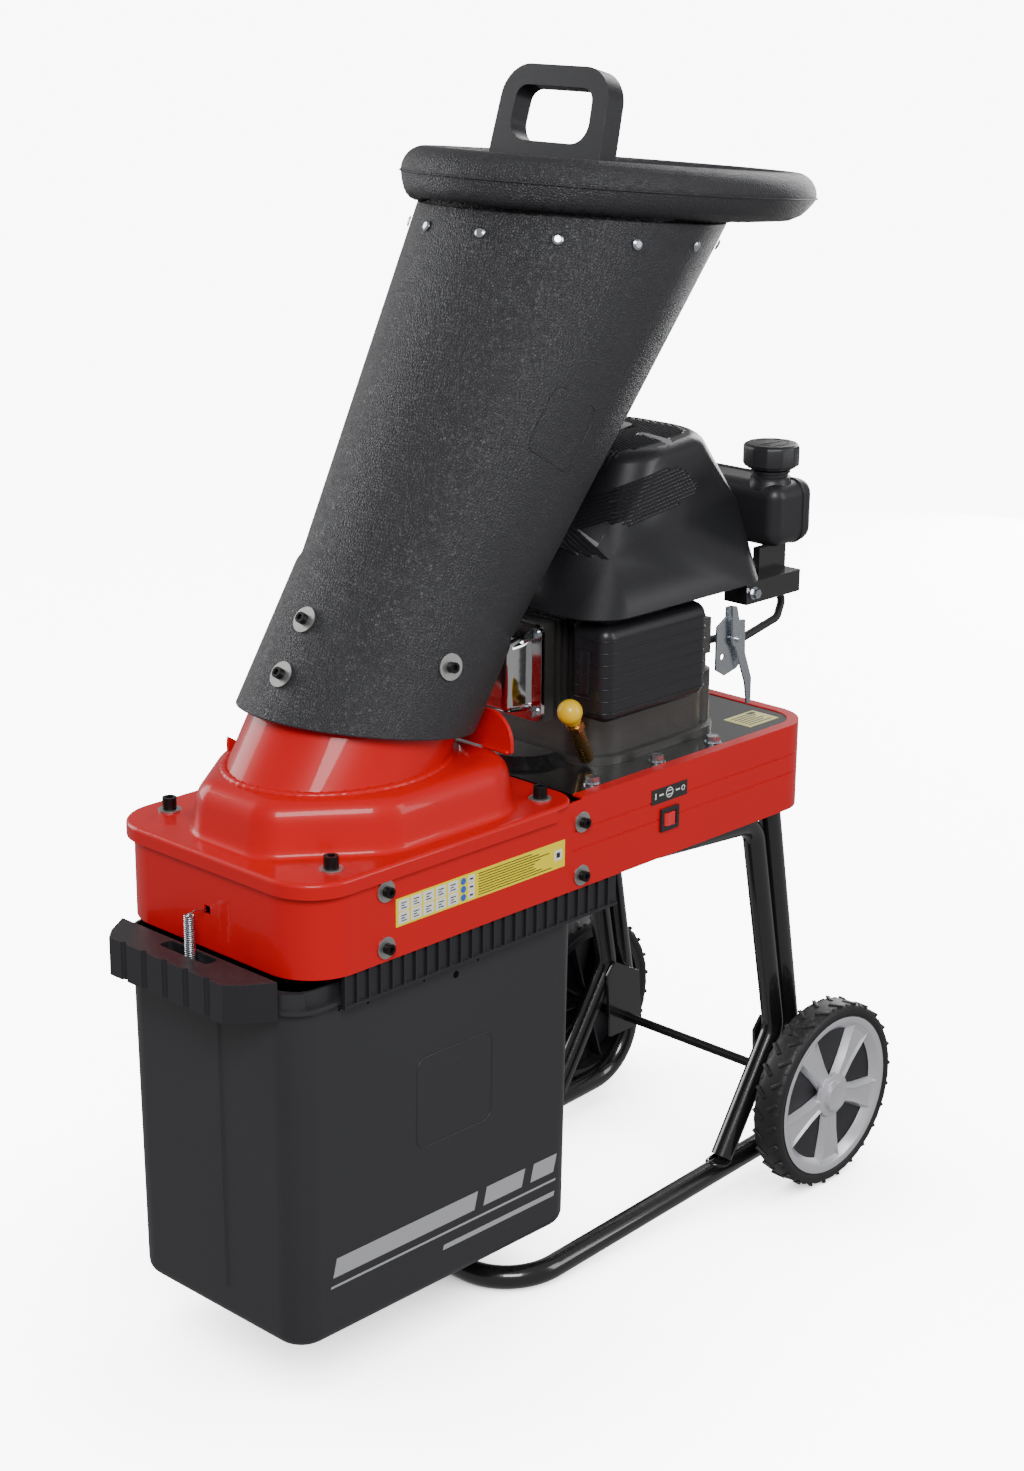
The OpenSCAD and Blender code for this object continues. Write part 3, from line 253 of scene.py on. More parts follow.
def sandGroup():
    # sand-cast skin: lumps with fine pits
    group, ins, outs = newGroup("castSkin", [("Vector", "Vector", None), ("Scale", "Float", 500.0)],
                                [("Height", "Float")])
    lumps = noiseNode(group, ins.outputs["Vector"], ins.outputs["Scale"], 5, 0.65)
    cells = group.nodes.new("ShaderNodeTexVoronoi")
    cells.inputs["Scale"].default_value = 900
    join(group, ins.outputs["Vector"], cells.inputs["Vector"])
    pits = spread(group, cells.outputs["Distance"], 0.1, 0.5)
    join(group, mathNode(group, "ADD", lumps, mathNode(group, "MULTIPLY", pits, 0.3)), outs.inputs["Height"])
    return group


def peelGroup():
    # slow waves of sprayed or powder paint over a slightly uneven sheet
    group, ins, outs = newGroup("orangePeel", [("Vector", "Vector", None), ("Scale", "Float", 300.0)],
                                [("Height", "Float")])
    peel = noiseNode(group, ins.outputs["Vector"], ins.outputs["Scale"], 2, 0.5)
    sheetWave = noiseNode(group, ins.outputs["Vector"], 9.0, 2, 0.4)
    join(group, mathNode(group, "ADD", peel, mathNode(group, "MULTIPLY", sheetWave, 5.0)), outs.inputs["Height"])
    return group


def brushGroup():
    # fine drawn lines along one direction
    group, ins, outs = newGroup("drawnLines", [("Vector", "Vector", None), ("Scale", "Float", 60.0)],
                                [("Height", "Float")])
    stretch = group.nodes.new("ShaderNodeMapping")
    stretch.inputs["Scale"].default_value = (1, 22, 22)
    join(group, ins.outputs["Vector"], stretch.inputs["Vector"])
    join(group, noiseNode(group, stretch.outputs[0], ins.outputs["Scale"], 4, 0.7), outs.inputs["Height"])
    return group


mats = {}
groups = {"tone": toneGroup(), "leather": leatherGroup(), "cast": sandGroup(), "peel": peelGroup(),
          "brushed": brushGroup()}


def finish(name, color, rough, metal=0.0, coat=0.0, coatRough=0.06, skin=("peel", 300, 0.00002, 0.35),
           amount=0.12, scale=6.0, roughSpread=0.08, dust=0.05, scuff=0.05, specular=0.5):
    # skin is the kind of grain, its scale, its depth in metres and its strength
    kind, skinScale, depth, strength = skin
    made = bpy.data.materials.new(name)
    made.use_nodes = True
    tree = made.node_tree
    shader = tree.nodes["Principled BSDF"]
    place = tree.nodes.new("ShaderNodeTexCoord").outputs["Object"]
    tone = tree.nodes.new("ShaderNodeGroup")
    tone.node_tree = groups["tone"]
    join(tree, place, tone.inputs["Vector"])
    for label, value in (("Base", (*color, 1)), ("Amount", amount), ("Scale", scale), ("Rough", rough),
                         ("Spread", roughSpread), ("Dust", dust), ("Scuff", scuff)):
        tone.inputs[label].default_value = value
    grain = tree.nodes.new("ShaderNodeGroup")
    grain.node_tree = groups[kind]
    grain.inputs["Scale"].default_value = skinScale
    join(tree, place, grain.inputs["Vector"])
    bump = tree.nodes.new("ShaderNodeBump")
    bump.inputs["Strength"].default_value = strength
    bump.inputs["Distance"].default_value = depth
    join(tree, grain.outputs["Height"], bump.inputs["Height"])
    join(tree, bump.outputs["Normal"], shader.inputs["Normal"])
    join(tree, tone.outputs["Color"], shader.inputs["Base Color"])
    join(tree, tone.outputs["Rough"], shader.inputs["Roughness"])
    shader.inputs["Metallic"].default_value = metal
    shader.inputs["Coat Weight"].default_value = coat
    shader.inputs["Coat Roughness"].default_value = coatRough
    shader.inputs["Specular IOR Level"].default_value = specular
    mats[name] = made


finish("redPaint", (0.62, 0.0005, 0.003), 0.4, coat=0.3, coatRough=0.04, skin=("peel", 300, 0.00005, 0.2),
       specular=0.25, amount=0.1, dust=0.015, scuff=0.04)
finish("blackPaint", (0.008, 0.008, 0.009), 0.22, coat=0.8, coatRough=0.05,
       skin=("peel", 300, 0.00004, 0.25), dust=0.03)
finish("grainPlastic", (0.021, 0.021, 0.025), 0.46, skin=("leather", 400, 0.0006, 0.8), amount=0.25, scale=5,
       roughSpread=0.16, dust=0.03, scuff=0.12)
finish("satinPlastic", (0.015, 0.015, 0.018), 0.4, skin=("cast", 1500, 0.00008, 0.3), amount=0.3,
       roughSpread=0.12, dust=0.05, scuff=0.08)
finish("binPlastic", (0.026, 0.026, 0.03), 0.42, skin=("cast", 1100, 0.00009, 0.3), amount=0.22, scale=4,
       roughSpread=0.1, dust=0.02, scuff=0.1)
finish("coverPlastic", (0.014, 0.014, 0.017), 0.34, skin=("cast", 1300, 0.0001, 0.3), amount=0.2,
       roughSpread=0.1, dust=0.02)
finish("silverPaint", (0.7, 0.7, 0.74), 0.3, metal=0.55, coat=0.35, coatRough=0.12,
       skin=("cast", 2200, 0.00005, 0.2), amount=0.1)
finish("tyreRubber", (0.012, 0.012, 0.013), 0.5, skin=("cast", 900, 0.0001, 0.4), amount=0.4, dust=0.12,
       scuff=0.1)
finish("rubber", (0.014, 0.014, 0.015), 0.5, skin=("cast", 1200, 0.00008, 0.4), amount=0.3, dust=0.05)
finish("zinc", (0.55, 0.58, 0.62), 0.26, metal=1.0, skin=("brushed", 60, 0.00006, 0.3), amount=0.35,
       scale=25, roughSpread=0.25, dust=0.02)
finish("washerSteel", (0.42, 0.42, 0.41), 0.4, metal=0.9, skin=("cast", 1500, 0.00006, 0.3), amount=0.3,
       scale=40)
finish("blackOxide", (0.012, 0.012, 0.013), 0.36, metal=0.6, skin=("cast", 1800, 0.00005, 0.3), dust=0.04)
finish("castAlloy", (0.13, 0.13, 0.125), 0.45, metal=0.85, skin=("cast", 600, 0.0004, 0.5), amount=0.3,
       scale=20, dust=0.03)
finish("chrome", (0.72, 0.72, 0.73), 0.09, metal=1.0, skin=("peel", 120, 0.00004, 0.3), amount=0.1,
       dust=0.01, scuff=0.02)
finish("brass", (0.62, 0.38, 0.14), 0.28, metal=1.0, skin=("cast", 900, 0.00008, 0.3), amount=0.4, scale=60)
finish("yellowPlastic", (0.9, 0.56, 0.01), 0.34, coat=0.3, skin=("cast", 900, 0.00008, 0.3), amount=0.15,
       scale=60, dust=0.1, scuff=0.2)
finish("toolSteel", (0.35, 0.35, 0.35), 0.34, metal=1.0, skin=("brushed", 60, 0.0001, 0.4), amount=0.4,
       scale=20)
finish("yellowFilm", (0.95, 0.78, 0.0), 0.32, coat=0.4, skin=("peel", 200, 0.00002, 0.2), amount=0.05)
finish("paleYellowFilm", (0.85, 0.8, 0.3), 0.32, coat=0.4, skin=("peel", 200, 0.00002, 0.2), amount=0.05)
finish("whiteFilm", (0.85, 0.85, 0.84), 0.35, coat=0.3, skin=("peel", 200, 0.00002, 0.2), amount=0.05)
finish("blackFilm", (0.015, 0.015, 0.015), 0.35, coat=0.3, skin=("peel", 200, 0.00002, 0.2), amount=0.1)
finish("blueFilm", (0.02, 0.12, 0.55), 0.35, coat=0.3, skin=("peel", 200, 0.00002, 0.2), amount=0.1)
finish("silverInk", (0.5, 0.5, 0.53), 0.4, metal=0.3, skin=("cast", 2000, 0.00003, 0.2), amount=0.08)
finish("redRocker", (0.75, 0.01, 0.015), 0.2, coat=0.6, skin=("peel", 200, 0.00002, 0.2), amount=0.1)
finish("glossPlastic", (0.26, 0.26, 0.28), 0.14, coat=1.0, skin=("peel", 160, 0.00004, 0.2), amount=0.2,
       dust=0.02, scuff=0.05)
# painted shade: a flat black with almost no gloss, put at the bottoms of holes and pits for the shade inside them
finish("holeShadeBlack", (0.003, 0.003, 0.003), 0.8, skin=("cast", 900, 0.00005, 0.2), amount=0.1, dust=0.0,
       scuff=0.0, specular=0.1)
finish("porcelain", (0.75, 0.75, 0.73), 0.15, coat=0.6, skin=("peel", 200, 0.00002, 0.2), amount=0.08)
print("materials ready:", len(mats))

# ---------- mesh helpers ----------


def softShade(bm, angle):
    for face in bm.faces:
        face.smooth = True
    for edge in bm.edges:
        edge.smooth = len(edge.link_faces) == 2 and edge.calc_face_angle(0.0) < radians(angle)


def sharpEdges(bm, angle):
    return [e for e in bm.edges if len(e.link_faces) == 2 and e.calc_face_angle(0.0) > radians(angle)]


def roundEdges(bm, edges, width, segments=3):
    bmesh.ops.bevel(bm, geom=edges, offset=width, offset_type="OFFSET", segments=segments, profile=0.5,
                    affect="EDGES", clamp_overlap=True, material=-1)


def roundCorners(bm, corners, width, segments):
    bmesh.ops.bevel(bm, geom=corners, offset=width, offset_type="OFFSET", segments=segments, profile=0.5,
                    affect="VERTICES", clamp_overlap=True, material=-1)


def move(bm, matrix):
    bmesh.ops.transform(bm, matrix=matrix, verts=bm.verts)


def cutAt(bm, place, ahead, behind=False, beyond=False):
    # cuts the mesh along a plane, and may clear what lies behind or beyond it
    bmesh.ops.bisect_plane(bm, geom=bm.verts[:] + bm.edges[:] + bm.faces[:], plane_co=place, plane_no=ahead,
                           clear_inner=behind, clear_outer=beyond)


def flatFace(bm, outline, z=0.0):
    # one face that looks up, from its corner points
    face = bm.faces.new([bm.verts.new((x * mm, y * mm, z * mm)) for x, y in outline])
    bm.normal_update()
    if face.normal.z < 0:
        face.normal_flip()
    return face


def pieceFrom(bm, name, body, material, stands=(), angle=35, outward=True):
    bmesh.ops.remove_doubles(bm, verts=bm.verts, dist=1e-6)
    if outward:
        bmesh.ops.recalc_face_normals(bm, faces=bm.faces)
    softShade(bm, angle)
    mesh = bpy.data.meshes.new(name)
    bm.to_mesh(mesh)
    bm.free()
    obj = bpy.data.objects.new(name, mesh)
    bpy.context.scene.collection.objects.link(obj)
    for m in material if isinstance(material, (list, tuple)) else [material]:
        mesh.materials.append(m)
    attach(obj, body)
    if stands:
        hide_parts(*stands)
    return obj


def chassisPiece(bm, name, finishName, stands=(), angle=35, outward=True):
    return pieceFrom(bm, name, "chassis", mats[finishName], stands, angle, outward)


def weighted(obj):
    even = obj.modifiers.new("evenNormals", "WEIGHTED_NORMAL")
    even.keep_sharp = True
    return obj


def meshOf(node):
    bm = bmesh.new()
    bm.from_mesh(nodes[node].data)
    bmesh.ops.remove_doubles(bm, verts=bm.verts, dist=2e-6)
    bmesh.ops.dissolve_limit(bm, angle_limit=radians(1.0), verts=bm.verts, edges=bm.edges)
    return bm


def dress(node, material, width=0.5, segments=2, angle=32):
    # a closer version of a CAD part: joined mesh, broken edges and its finish
    bm = meshOf(node)
    if width:
        roundEdges(bm, sharpEdges(bm, angle), width * mm, segments)
    return weighted(pieceFrom(bm, node + "Dressed", bodyOf[node], material, [node], angle, False))


def spun(points, steps=64, closed=False):
    bm = bmesh.new()
    verts = [bm.verts.new((r * mm, 0, z * mm)) for r, z in points]
    edges = [bm.edges.new(pair) for pair in zip(verts, verts[1:])]
    if closed:
        edges.append(bm.edges.new((verts[-1], verts[0])))
    bmesh.ops.spin(bm, geom=verts + edges, cent=(0, 0, 0), axis=(0, 0, 1), angle=2 * pi, steps=steps,
                   use_merge=True, use_duplicate=False)
    bmesh.ops.remove_doubles(bm, verts=bm.verts, dist=1e-6)
    return bm


def roundedPath(points, bend, steps=8):
    # the points with every corner bent to one radius
    pts = [Vector(p) for p in points]
    path = [pts[0]]
    for a, b, c in zip(pts, pts[1:], pts[2:]):
        u, v = (b - a).normalized(), (c - b).normalized()
        turn = u.angle(v)
        start = b - u * bend * tan(turn / 2)
        inward = (v - u * u.dot(v)).normalized()
        centre = start + inward * bend
        path += [centre - inward * bend * cos(turn * i / steps) + u * bend * sin(turn * i / steps)
                 for i in range(steps + 1)]
    return path + [pts[-1]]


def wire(paths, radius, closed=False, resolution=3, radii=None):
    curve = bpy.data.curves.new("wire", "CURVE")
    curve.dimensions = "3D"
    curve.bevel_depth = radius * mm
    curve.bevel_resolution = resolution
    curve.use_fill_caps = not closed
    for path in paths:
        spline = curve.splines.new("POLY")
        spline.points.add(len(path) - 1)
        for i, p in enumerate(path):
            spline.points[i].co = (*(Vector(p) * mm), 1)
            spline.points[i].radius = radii[i] if radii else 1.0
        spline.use_cyclic_u = closed
    holder = bpy.data.objects.new("wire", curve)
    mesh = bpy.data.meshes.new_from_object(holder)
    bm = bmesh.new()
    bm.from_mesh(mesh)
    bpy.data.objects.remove(holder)
    bpy.data.curves.remove(curve)
    bpy.data.meshes.remove(mesh)
    return bm


def addTo(bm, part, matrix=None):
    # copies another bmesh into this one
    if matrix is not None:
        move(part, matrix)
    mesh = bpy.data.meshes.new("part")
    part.to_mesh(mesh)
    part.free()
    bm.from_mesh(mesh)
    bpy.data.meshes.remove(mesh)


def boxMesh(low, high, width=0.0, segments=3):
    bm = bmesh.new()
    size = [h - l for l, h in zip(low, high)]
    middle = [(h + l) / 2 for l, h in zip(low, high)]
    bmesh.ops.create_cube(bm, size=1.0)
    bmesh.ops.scale(bm, vec=[s * mm for s in size], verts=bm.verts)
    bmesh.ops.translate(bm, vec=[m * mm for m in middle], verts=bm.verts)
    if width:
        roundEdges(bm, bm.edges[:], width * mm, segments)
    return bm


def plateMesh(outline, thick, corner=0.0, width=0.0, cornerSteps=5):
    # a flat plate in XY from its corner points, with round corners and broken edges
    bm = bmesh.new()
    flatFace(bm, outline)
    if corner:
        roundCorners(bm, bm.verts[:], corner * mm, cornerSteps)
    lift = bmesh.ops.extrude_face_region(bm, geom=bm.faces[:])
    up = [v for v in lift["geom"] if isinstance(v, bmesh.types.BMVert)]
    bmesh.ops.translate(bm, vec=(0, 0, thick * mm), verts=up)
    bmesh.ops.recalc_face_normals(bm, faces=bm.faces)
    if width:
        roundEdges(bm, sharpEdges(bm, 50), width * mm, 3)
    return bm


def stepUp(bm, face, steps):
    # carries a face up through a row of inset loops, each given as (inwards, upwards)
    for inwards, upwards in steps:
        bmesh.ops.inset_region(bm, faces=[face], thickness=inwards * mm, depth=0.0, use_even_offset=True,
                                use_boundary=True)
        bmesh.ops.translate(bm, vec=(0, 0, upwards * mm), verts=face.verts[:])


def turned(place, z, x=None):
    # a matrix that puts the local Z along z and the local X as near as it can to x
    z = Vector(z).normalized()
    x = Vector(x) if x else (Vector((1, 0, 0)) if abs(z.x) < 0.9 else Vector((0, 1, 0)))
    x = (x - z * x.dot(z)).normalized()
    y = z.cross(x)
    return Matrix.Translation(Vector(place) * mm) @ Matrix((x, y, z)).transposed().to_4x4()


def thicken(obj, wall, edge=0.0, angle=40, even=True):
    shell = obj.modifiers.new("wall", "SOLIDIFY")
    shell.thickness = wall * mm
    shell.offset = -1
    shell.use_even_offset = even
    if edge:
        soft = obj.modifiers.new("edge", "BEVEL")
        soft.width = edge * mm
        soft.segments = 2
        soft.limit_method = "ANGLE"
        soft.angle_limit = radians(angle)
    return obj


# ---------- feed chute and rim ----------

chuteSpec = {"foot": (-186, 0, 581), "lean": 32.6, "sleeve": 104, "collar": 112, "mouth": 134.5, "mouthAt": 501,
             "wall": 4, "footTilt": 10.7, "rimAt": (150, 0, 1026), "rimTilt": 5.6, "trim": -25.5}
flare = (chuteSpec["mouth"] - chuteSpec["sleeve"] + 2) / (chuteSpec["mouthAt"] - chuteSpec["collar"] - 5)


def alongChute(s=0.0):
    return (Matrix.Translation(Vector(chuteSpec["foot"]) * mm)
            @ Matrix.Rotation(radians(chuteSpec["lean"]), 4, "Y") @ Matrix.Translation((0, 0, s * mm)))


def makeChute(c):
    r, s0 = c["sleeve"], c["collar"]
    outer = [(r, -60), (r, 20), (r, 60), (r, s0 - 5), (r - 0.25, s0 - 2), (r - 0.9, s0 + 0.5), (r - 1.7, s0 + 3)]
    outer += [(r - 2 + flare * (s - s0 - 5), s) for s in [s0 + 6] + list(range(s0 + 40, 640, 40))]
    bm = spun(outer, 96)
    move(bm, alongChute())
    low = Vector((sin(radians(c["footTilt"])), 0, cos(radians(c["footTilt"]))))
    top = Vector((sin(radians(c["rimTilt"])), 0, cos(radians(c["rimTilt"]))))
    cutAt(bm, Vector(c["foot"]) * mm, low, behind=True)
    cutAt(bm, (Vector(c["rimAt"]) + top * c["trim"]) * mm, top, beyond=True)
    obj = chassisPiece(bm, "feedChute", "grainPlastic", ["feed_chute"], 50)
    thicken(obj, c["wall"], 1.0)
    # a raised outline on the near side, left plain inside
    path = []
    corners = [(27, 262), (27, 325), (-27, 325), (-27, 262)]
    for p in roundedPath([(0, 262, 0)] + [(x, s, 0) for x, s in corners] + [(0, 262, 0)], 9, 5):
        radius = r - 2 + flare * (p.y - s0 - 5) - 0.1
        turn = radians(-98) + p.x / radius
        path.append(alongChute() @ (Vector((cos(turn) * radius, sin(turn) * radius, p.y)) * mm) / mm)
    chassisPiece(wire([path], 0.8, True, 2), "chuteFrameMark", "grainPlastic", angle=60)


def makeRim():
    bm = meshOf("chute_rim")
    obj = chassisPiece(bm, "chuteRimShell", "grainPlastic", ["chute_rim"], 70, False)
    smooth = obj.modifiers.new("rounder", "SUBSURF")
    smooth.levels = smooth.render_levels = 1
    tilt = (Matrix.Translation(Vector(chuteSpec["rimAt"]) * mm)
            @ Matrix.Rotation(radians(chuteSpec["rimTilt"]), 4, "Y"))
    line = []
    for i in range(160):
        t = 2 * pi * i / 160
        line.append(tilt @ (Vector((-3 + 224.7 * cos(t), 167.7 * sin(t), 1.0)) * mm) / mm)
    chassisPiece(wire([line], 0.9, True, 2), "rimPartingLine", "grainPlastic", angle=60)


makeChute(chuteSpec)
makeRim()
print("chute ready")

# ---------- lid, neck and welds ----------

lidSpec = {"top": 497, "front": -368, "rear": -28, "half": 135, "frontCorner": 47, "rearCorner": 32, "skirt": 14,
           "skirtEnd": -64, "sheet": 2, "dome": 48}


def makeLid(c):
    bm = bmesh.new()
    low = c["top"] - c["skirt"]
    flatFace(bm, ((c["front"], -c["half"]), (c["rear"], -c["half"]), (c["rear"], c["half"]),
                  (c["front"], c["half"])), low)
    for x, radius in ((c["front"], c["frontCorner"]), (c["rear"], c["rearCorner"])):
        pick = [v for v in bm.verts if abs(v.co.x - x * mm) < 1e-5 and abs(abs(v.co.y) - c["half"] * mm) < 1e-5]
        roundCorners(bm, pick, radius * mm, 10)
    face = bm.faces[:][0]
    lift = bmesh.ops.extrude_face_region(bm, geom=[face], use_keep_orig=False)
    top = [f for f in lift["geom"] if isinstance(f, bmesh.types.BMFace)][0]
    rise = c["skirt"] - 3.6
    bmesh.ops.translate(bm, vec=(0, 0, rise * mm), verts=top.verts[:])
    stepUp(bm, top, [(0.3, 1.4), (0.9, 1.2), (1.3, 0.8), (1.4, 0.2)])
    for f in [f for f in bm.faces if f.normal.z < -0.9
              or (abs(f.normal.z) > 0.9 and f.calc_center_median().z < (low + 1) * mm)]:
        bm.faces.remove(f)
    cutAt(bm, (c["skirtEnd"] * mm, 0, 0), (1, 0, 0))
    cutAt(bm, (0, 0, (c["top"] - 3.2) * mm), (0, 0, 1))
    gone = [f for f in bm.faces if f.calc_center_median().x > c["skirtEnd"] * mm
            and f.calc_center_median().z < (c["top"] - 3.2) * mm]
    bmesh.ops.delete(bm, geom=gone, context="FACES")
    obj = chassisPiece(bm, "lidSheet", "redPaint", ["lid_pan"], 40)
    thicken(weighted(obj), c["sheet"])
    # raised housing, its foot, walls and crown as loops stepped inwards
    bm = bmesh.new()
    side = [(-349, -50), (-254, -122.5), (-103, -122.5), (-67, -90)]
    flatFace(bm, side + [(x, -y) for x, y in reversed(side)], c["top"] - 0.3)
    roundCorners(bm, bm.verts[:], 21 * mm, 7)
    face = bm.faces[:][0]
    stepUp(bm, face, [(2.2, 0.5), (1.9, 1.3), (1.3, 2.6), (0.8, 4.2), (1.3, 9), (1.3, 9), (0.8, 4.6), (1.3, 4.5),
                      (2.2, 4.2), (3.1, 3.4), (3.9, 2.6), (4.4, 1.5), (4.6, 0.7), (7, 0.3)])
    weighted(chassisPiece(bm, "lidHousing", "redPaint", angle=45))


def makeWelds():
    # beads laid round the neck and along the stiffener
    bm = bmesh.new()
    lean = radians(chuteSpec["lean"])
    z = lidSpec["top"] + lidSpec["dome"] - 0.2
    middle = chuteSpec["foot"][0] + (z - chuteSpec["foot"][2]) * tan(lean)
    count = 210
    ring = [(middle + 91.5 / cos(lean) * cos(2 * pi * i / count), 91.2 * sin(2 * pi * i / count), z)
            for i in range(count)]
    blobs = [1 + 0.3 * abs(sin(i * 0.9)) + 0.12 * sin(i * 2.7) for i in range(count)]
    addTo(bm, wire([ring], 3.0, True, 3, blobs))
    for x in (-88.6, -83.6):
        line = [(x, -96 + 2.4 * i, z + 0.6) for i in range(14)]
        for mirror in (1, -1):
            addTo(bm, wire([[(p[0], mirror * p[1], p[2]) for p in line]], 1.8, False, 3,
                           [1 + 0.3 * abs(sin(i * 1.3)) for i in range(14)]))
    chassisPiece(bm, "weldBeads", "redPaint", angle=80)


makeLid(lidSpec)
makeWelds()
print("lid ready")

# ---------- frame tubes ----------

frameSpec = {"radius": 11.5, "half": 116, "front": -100, "rise": 0.0545, "bend": 60, "legX": 274, "slope": 0.19,
             "legTop": 440, "kink": 163}


def legAt(z):
    return frameSpec["legX"] + frameSpec["slope"] * (400 - z)


def runAt(x):
    return frameSpec["radius"] + frameSpec["rise"] * (x - frameSpec["front"])


def makeFrame(c):
    heelZ = runAt(337)
    heelX = legAt(heelZ)
    y = c["half"]
    loop = [(legAt(c["legTop"]), y, c["legTop"]), (heelX, y, heelZ), (c["front"], y, runAt(c["front"])),
            (c["front"], -y, runAt(c["front"])), (heelX, -y, heelZ), (legAt(c["legTop"]), -y, c["legTop"])]
    bm = wire([roundedPath(loop, c["bend"], 14)], c["radius"], False, 8)
    chassisPiece(bm, "frameLoop", "blackPaint", ["base_tube"], 50)
    shift = 23.5 * sqrt(1 + c["slope"] ** 2)
    for s, node in ((1, "strut_left"), (-1, "strut_right")):
        path = [(60, s * y, 415), (legAt(400) - shift - 4, s * y, 401),
                (legAt(c["kink"]) - shift, s * y, c["kink"]), (216, s * y, runAt(216) + 11)]
        bm = wire([roundedPath(path, 28, 10)], c["radius"], False, 8)
        # weld where the strut's foot meets the floor run
        foot = [(214 + 14 * cos(a) - 2, s * (y + 10.5 * sin(a)),
                 runAt(214) + 11.2 + 1.5 * cos(a) - 3.5 * sin(a) ** 2)
                for a in [2 * pi * i / 40 for i in range(40)]]
        addTo(bm, wire([foot], 1.8, True, 3, [1 + 0.3 * abs(sin(i * 1.7)) for i in range(40)]))
        chassisPiece(bm, "kinkedStrut" + ("L" if s > 0 else "R"), "blackPaint", [node], 50)


makeFrame(frameSpec)
print("frame ready")

# ---------- wheels ----------

wheelSpec = {"axle": (313, 100), "track": 340, "bars": 26, "spokes": 5}


def wheelPlace(s):
    x, z = wheelSpec["axle"]
    return (Matrix.Translation(Vector((x, s * wheelSpec["track"] / 2, z)) * mm)
            @ Matrix.Rotation(radians(-90 * s), 4, "X"))


def ringOf(part, place, count):
    # copies of a part all the way round the axle
    ring = bmesh.new()
    addTo(ring, part, place)
    bmesh.ops.spin(ring, geom=ring.verts[:] + ring.edges[:] + ring.faces[:], cent=(0, 0, 0), axis=(0, 0, 1),
                   angle=2 * pi * (count - 1) / count, steps=count - 1, use_duplicate=True, use_merge=False)
    return ring


def makeTyre(s, node, body):
    bm = spun([(86, -15), (88, -16.4), (91.5, -16.8), (95, -15.4), (97.2, -12), (97.8, -6), (98, 0), (97.8, 6),
               (97.2, 12), (95, 15.4), (91.5, 16.8), (88, 16.4), (86, 15)], 96, True)
    # two rows of slanted bars that meet in a zigzag, and a lug on each shoulder
    for side in (1, -1):
        bar = boxMesh((-1.7, -2.1, -7.4), (1.1, 2.1, 7.4), 0.7, 2)
        place = (Matrix.Rotation(radians(4.5 if side > 0 else -2.4), 4, "Z")
                 @ Matrix.Translation((98.1 * mm, 0, side * 8.6 * mm))
                 @ Matrix.Rotation(radians(side * 38), 4, "X"))
        addTo(bm, ringOf(bar, place, wheelSpec["bars"]))
        lug = boxMesh((-1.8, -3.2, -2.4), (0.5, 3.2, 2.4), 0.6, 2)
        place = (Matrix.Rotation(radians(9 if side > 0 else 2.2), 4, "Z")
                 @ Matrix.Translation((96.2 * mm, 0, side * 13.6 * mm))
                 @ Matrix.Rotation(radians(side * -38), 4, "Y"))
        addTo(bm, ringOf(lug, place, wheelSpec["bars"]))
    move(bm, wheelPlace(s))
    pieceFrom(bm, "treadTyre" + body[-4:], body, mats["tyreRubber"], [node], 40)


def makeCover(s, node, capNode, body):
    tag = body[-4:]
    # barrel and dark web behind the spokes
    bm = spun([(79, -15), (86.2, -15), (86.2, 15.6), (84.8, 15.9), (82, 10), (81, 6)], 96, True)
    addTo(bm, spun([(5.2, 5), (60, 5.6), (80, 6.6), (80, 3.4), (60, 2.6), (5.2, 2)], 64, True))
    addTo(bm, spun([(5.2, -15), (17, -15), (17, 6), (5.2, 6)], 32, True))
    for i in range(10):
        rib = boxMesh((16, -1.2, -11), (78, 1.2, 3), 0.4, 2)
        addTo(bm, rib, Matrix.Rotation(2 * pi * i / 10, 4, "Z"))
    move(bm, wheelPlace(s))
    pieceFrom(bm, "wheelWeb" + tag, body, mats["satinPlastic"], [node], 35)
    # silver cover: ring with a sloping inner wall, five spokes with sloping flanks, dished cap
    bm = spun([(70.5, 7), (77.4, 14.6), (78.4, 15.3), (84.6, 15.9), (86, 15.4), (86.3, 14), (84, 8)], 96, True)
    for i in range(wheelSpec["spokes"]):
        spoke = bmesh.new()
        outline = [(14, -9.5), (40, -11.5), (74, -18), (79, -22), (79, 22), (74, 18), (40, 11.5), (14, 9.5)]
        face = flatFace(spoke, outline, 6)
        bmesh.ops.inset_region(spoke, faces=[face], thickness=3.6 * mm, depth=0.0, use_even_offset=True,
                               use_boundary=True)
        bmesh.ops.translate(spoke, vec=(0, 0, 8.2 * mm), verts=face.verts[:])
        bmesh.ops.inset_region(spoke, faces=[face], thickness=3.2 * mm, depth=0.0, use_even_offset=True)
        bmesh.ops.translate(spoke, vec=(0, 0, -2.0 * mm), verts=face.verts[:])
        roundEdges(spoke, sharpEdges(spoke, 20), 0.7 * mm, 3)
        addTo(bm, spoke, Matrix.Rotation(radians(-90 + 360 * i / wheelSpec["spokes"]), 4, "Z"))
    addTo(bm, spun([(5.3, 8), (22, 8), (24, 10.5), (23, 14.2), (20.5, 15.2), (5.3, 15.2)], 64, True))
    move(bm, wheelPlace(s))
    pieceFrom(bm, "wheelCover" + tag, body, mats["silverPaint"], angle=38)
    bm = spun([(0, 18.6), (7, 18.9), (11.5, 19.7), (14, 20.4), (15.4, 20), (16, 18.4), (16.4, 15.2),
               (0, 15.2)], 48)
    move(bm, wheelPlace(s))
    pieceFrom(bm, "wheelCap" + tag, body, mats["silverPaint"], [capNode], 38)


for s, side in ((1, "left"), (-1, "right")):
    makeTyre(s, "tyre_" + side, "wheel_" + side)
    makeCover(s, "rim_" + side, "hub_cap_" + side, "wheel_" + side)
print("wheels ready")

# ---------- blower cover, grilles and top panels ----------

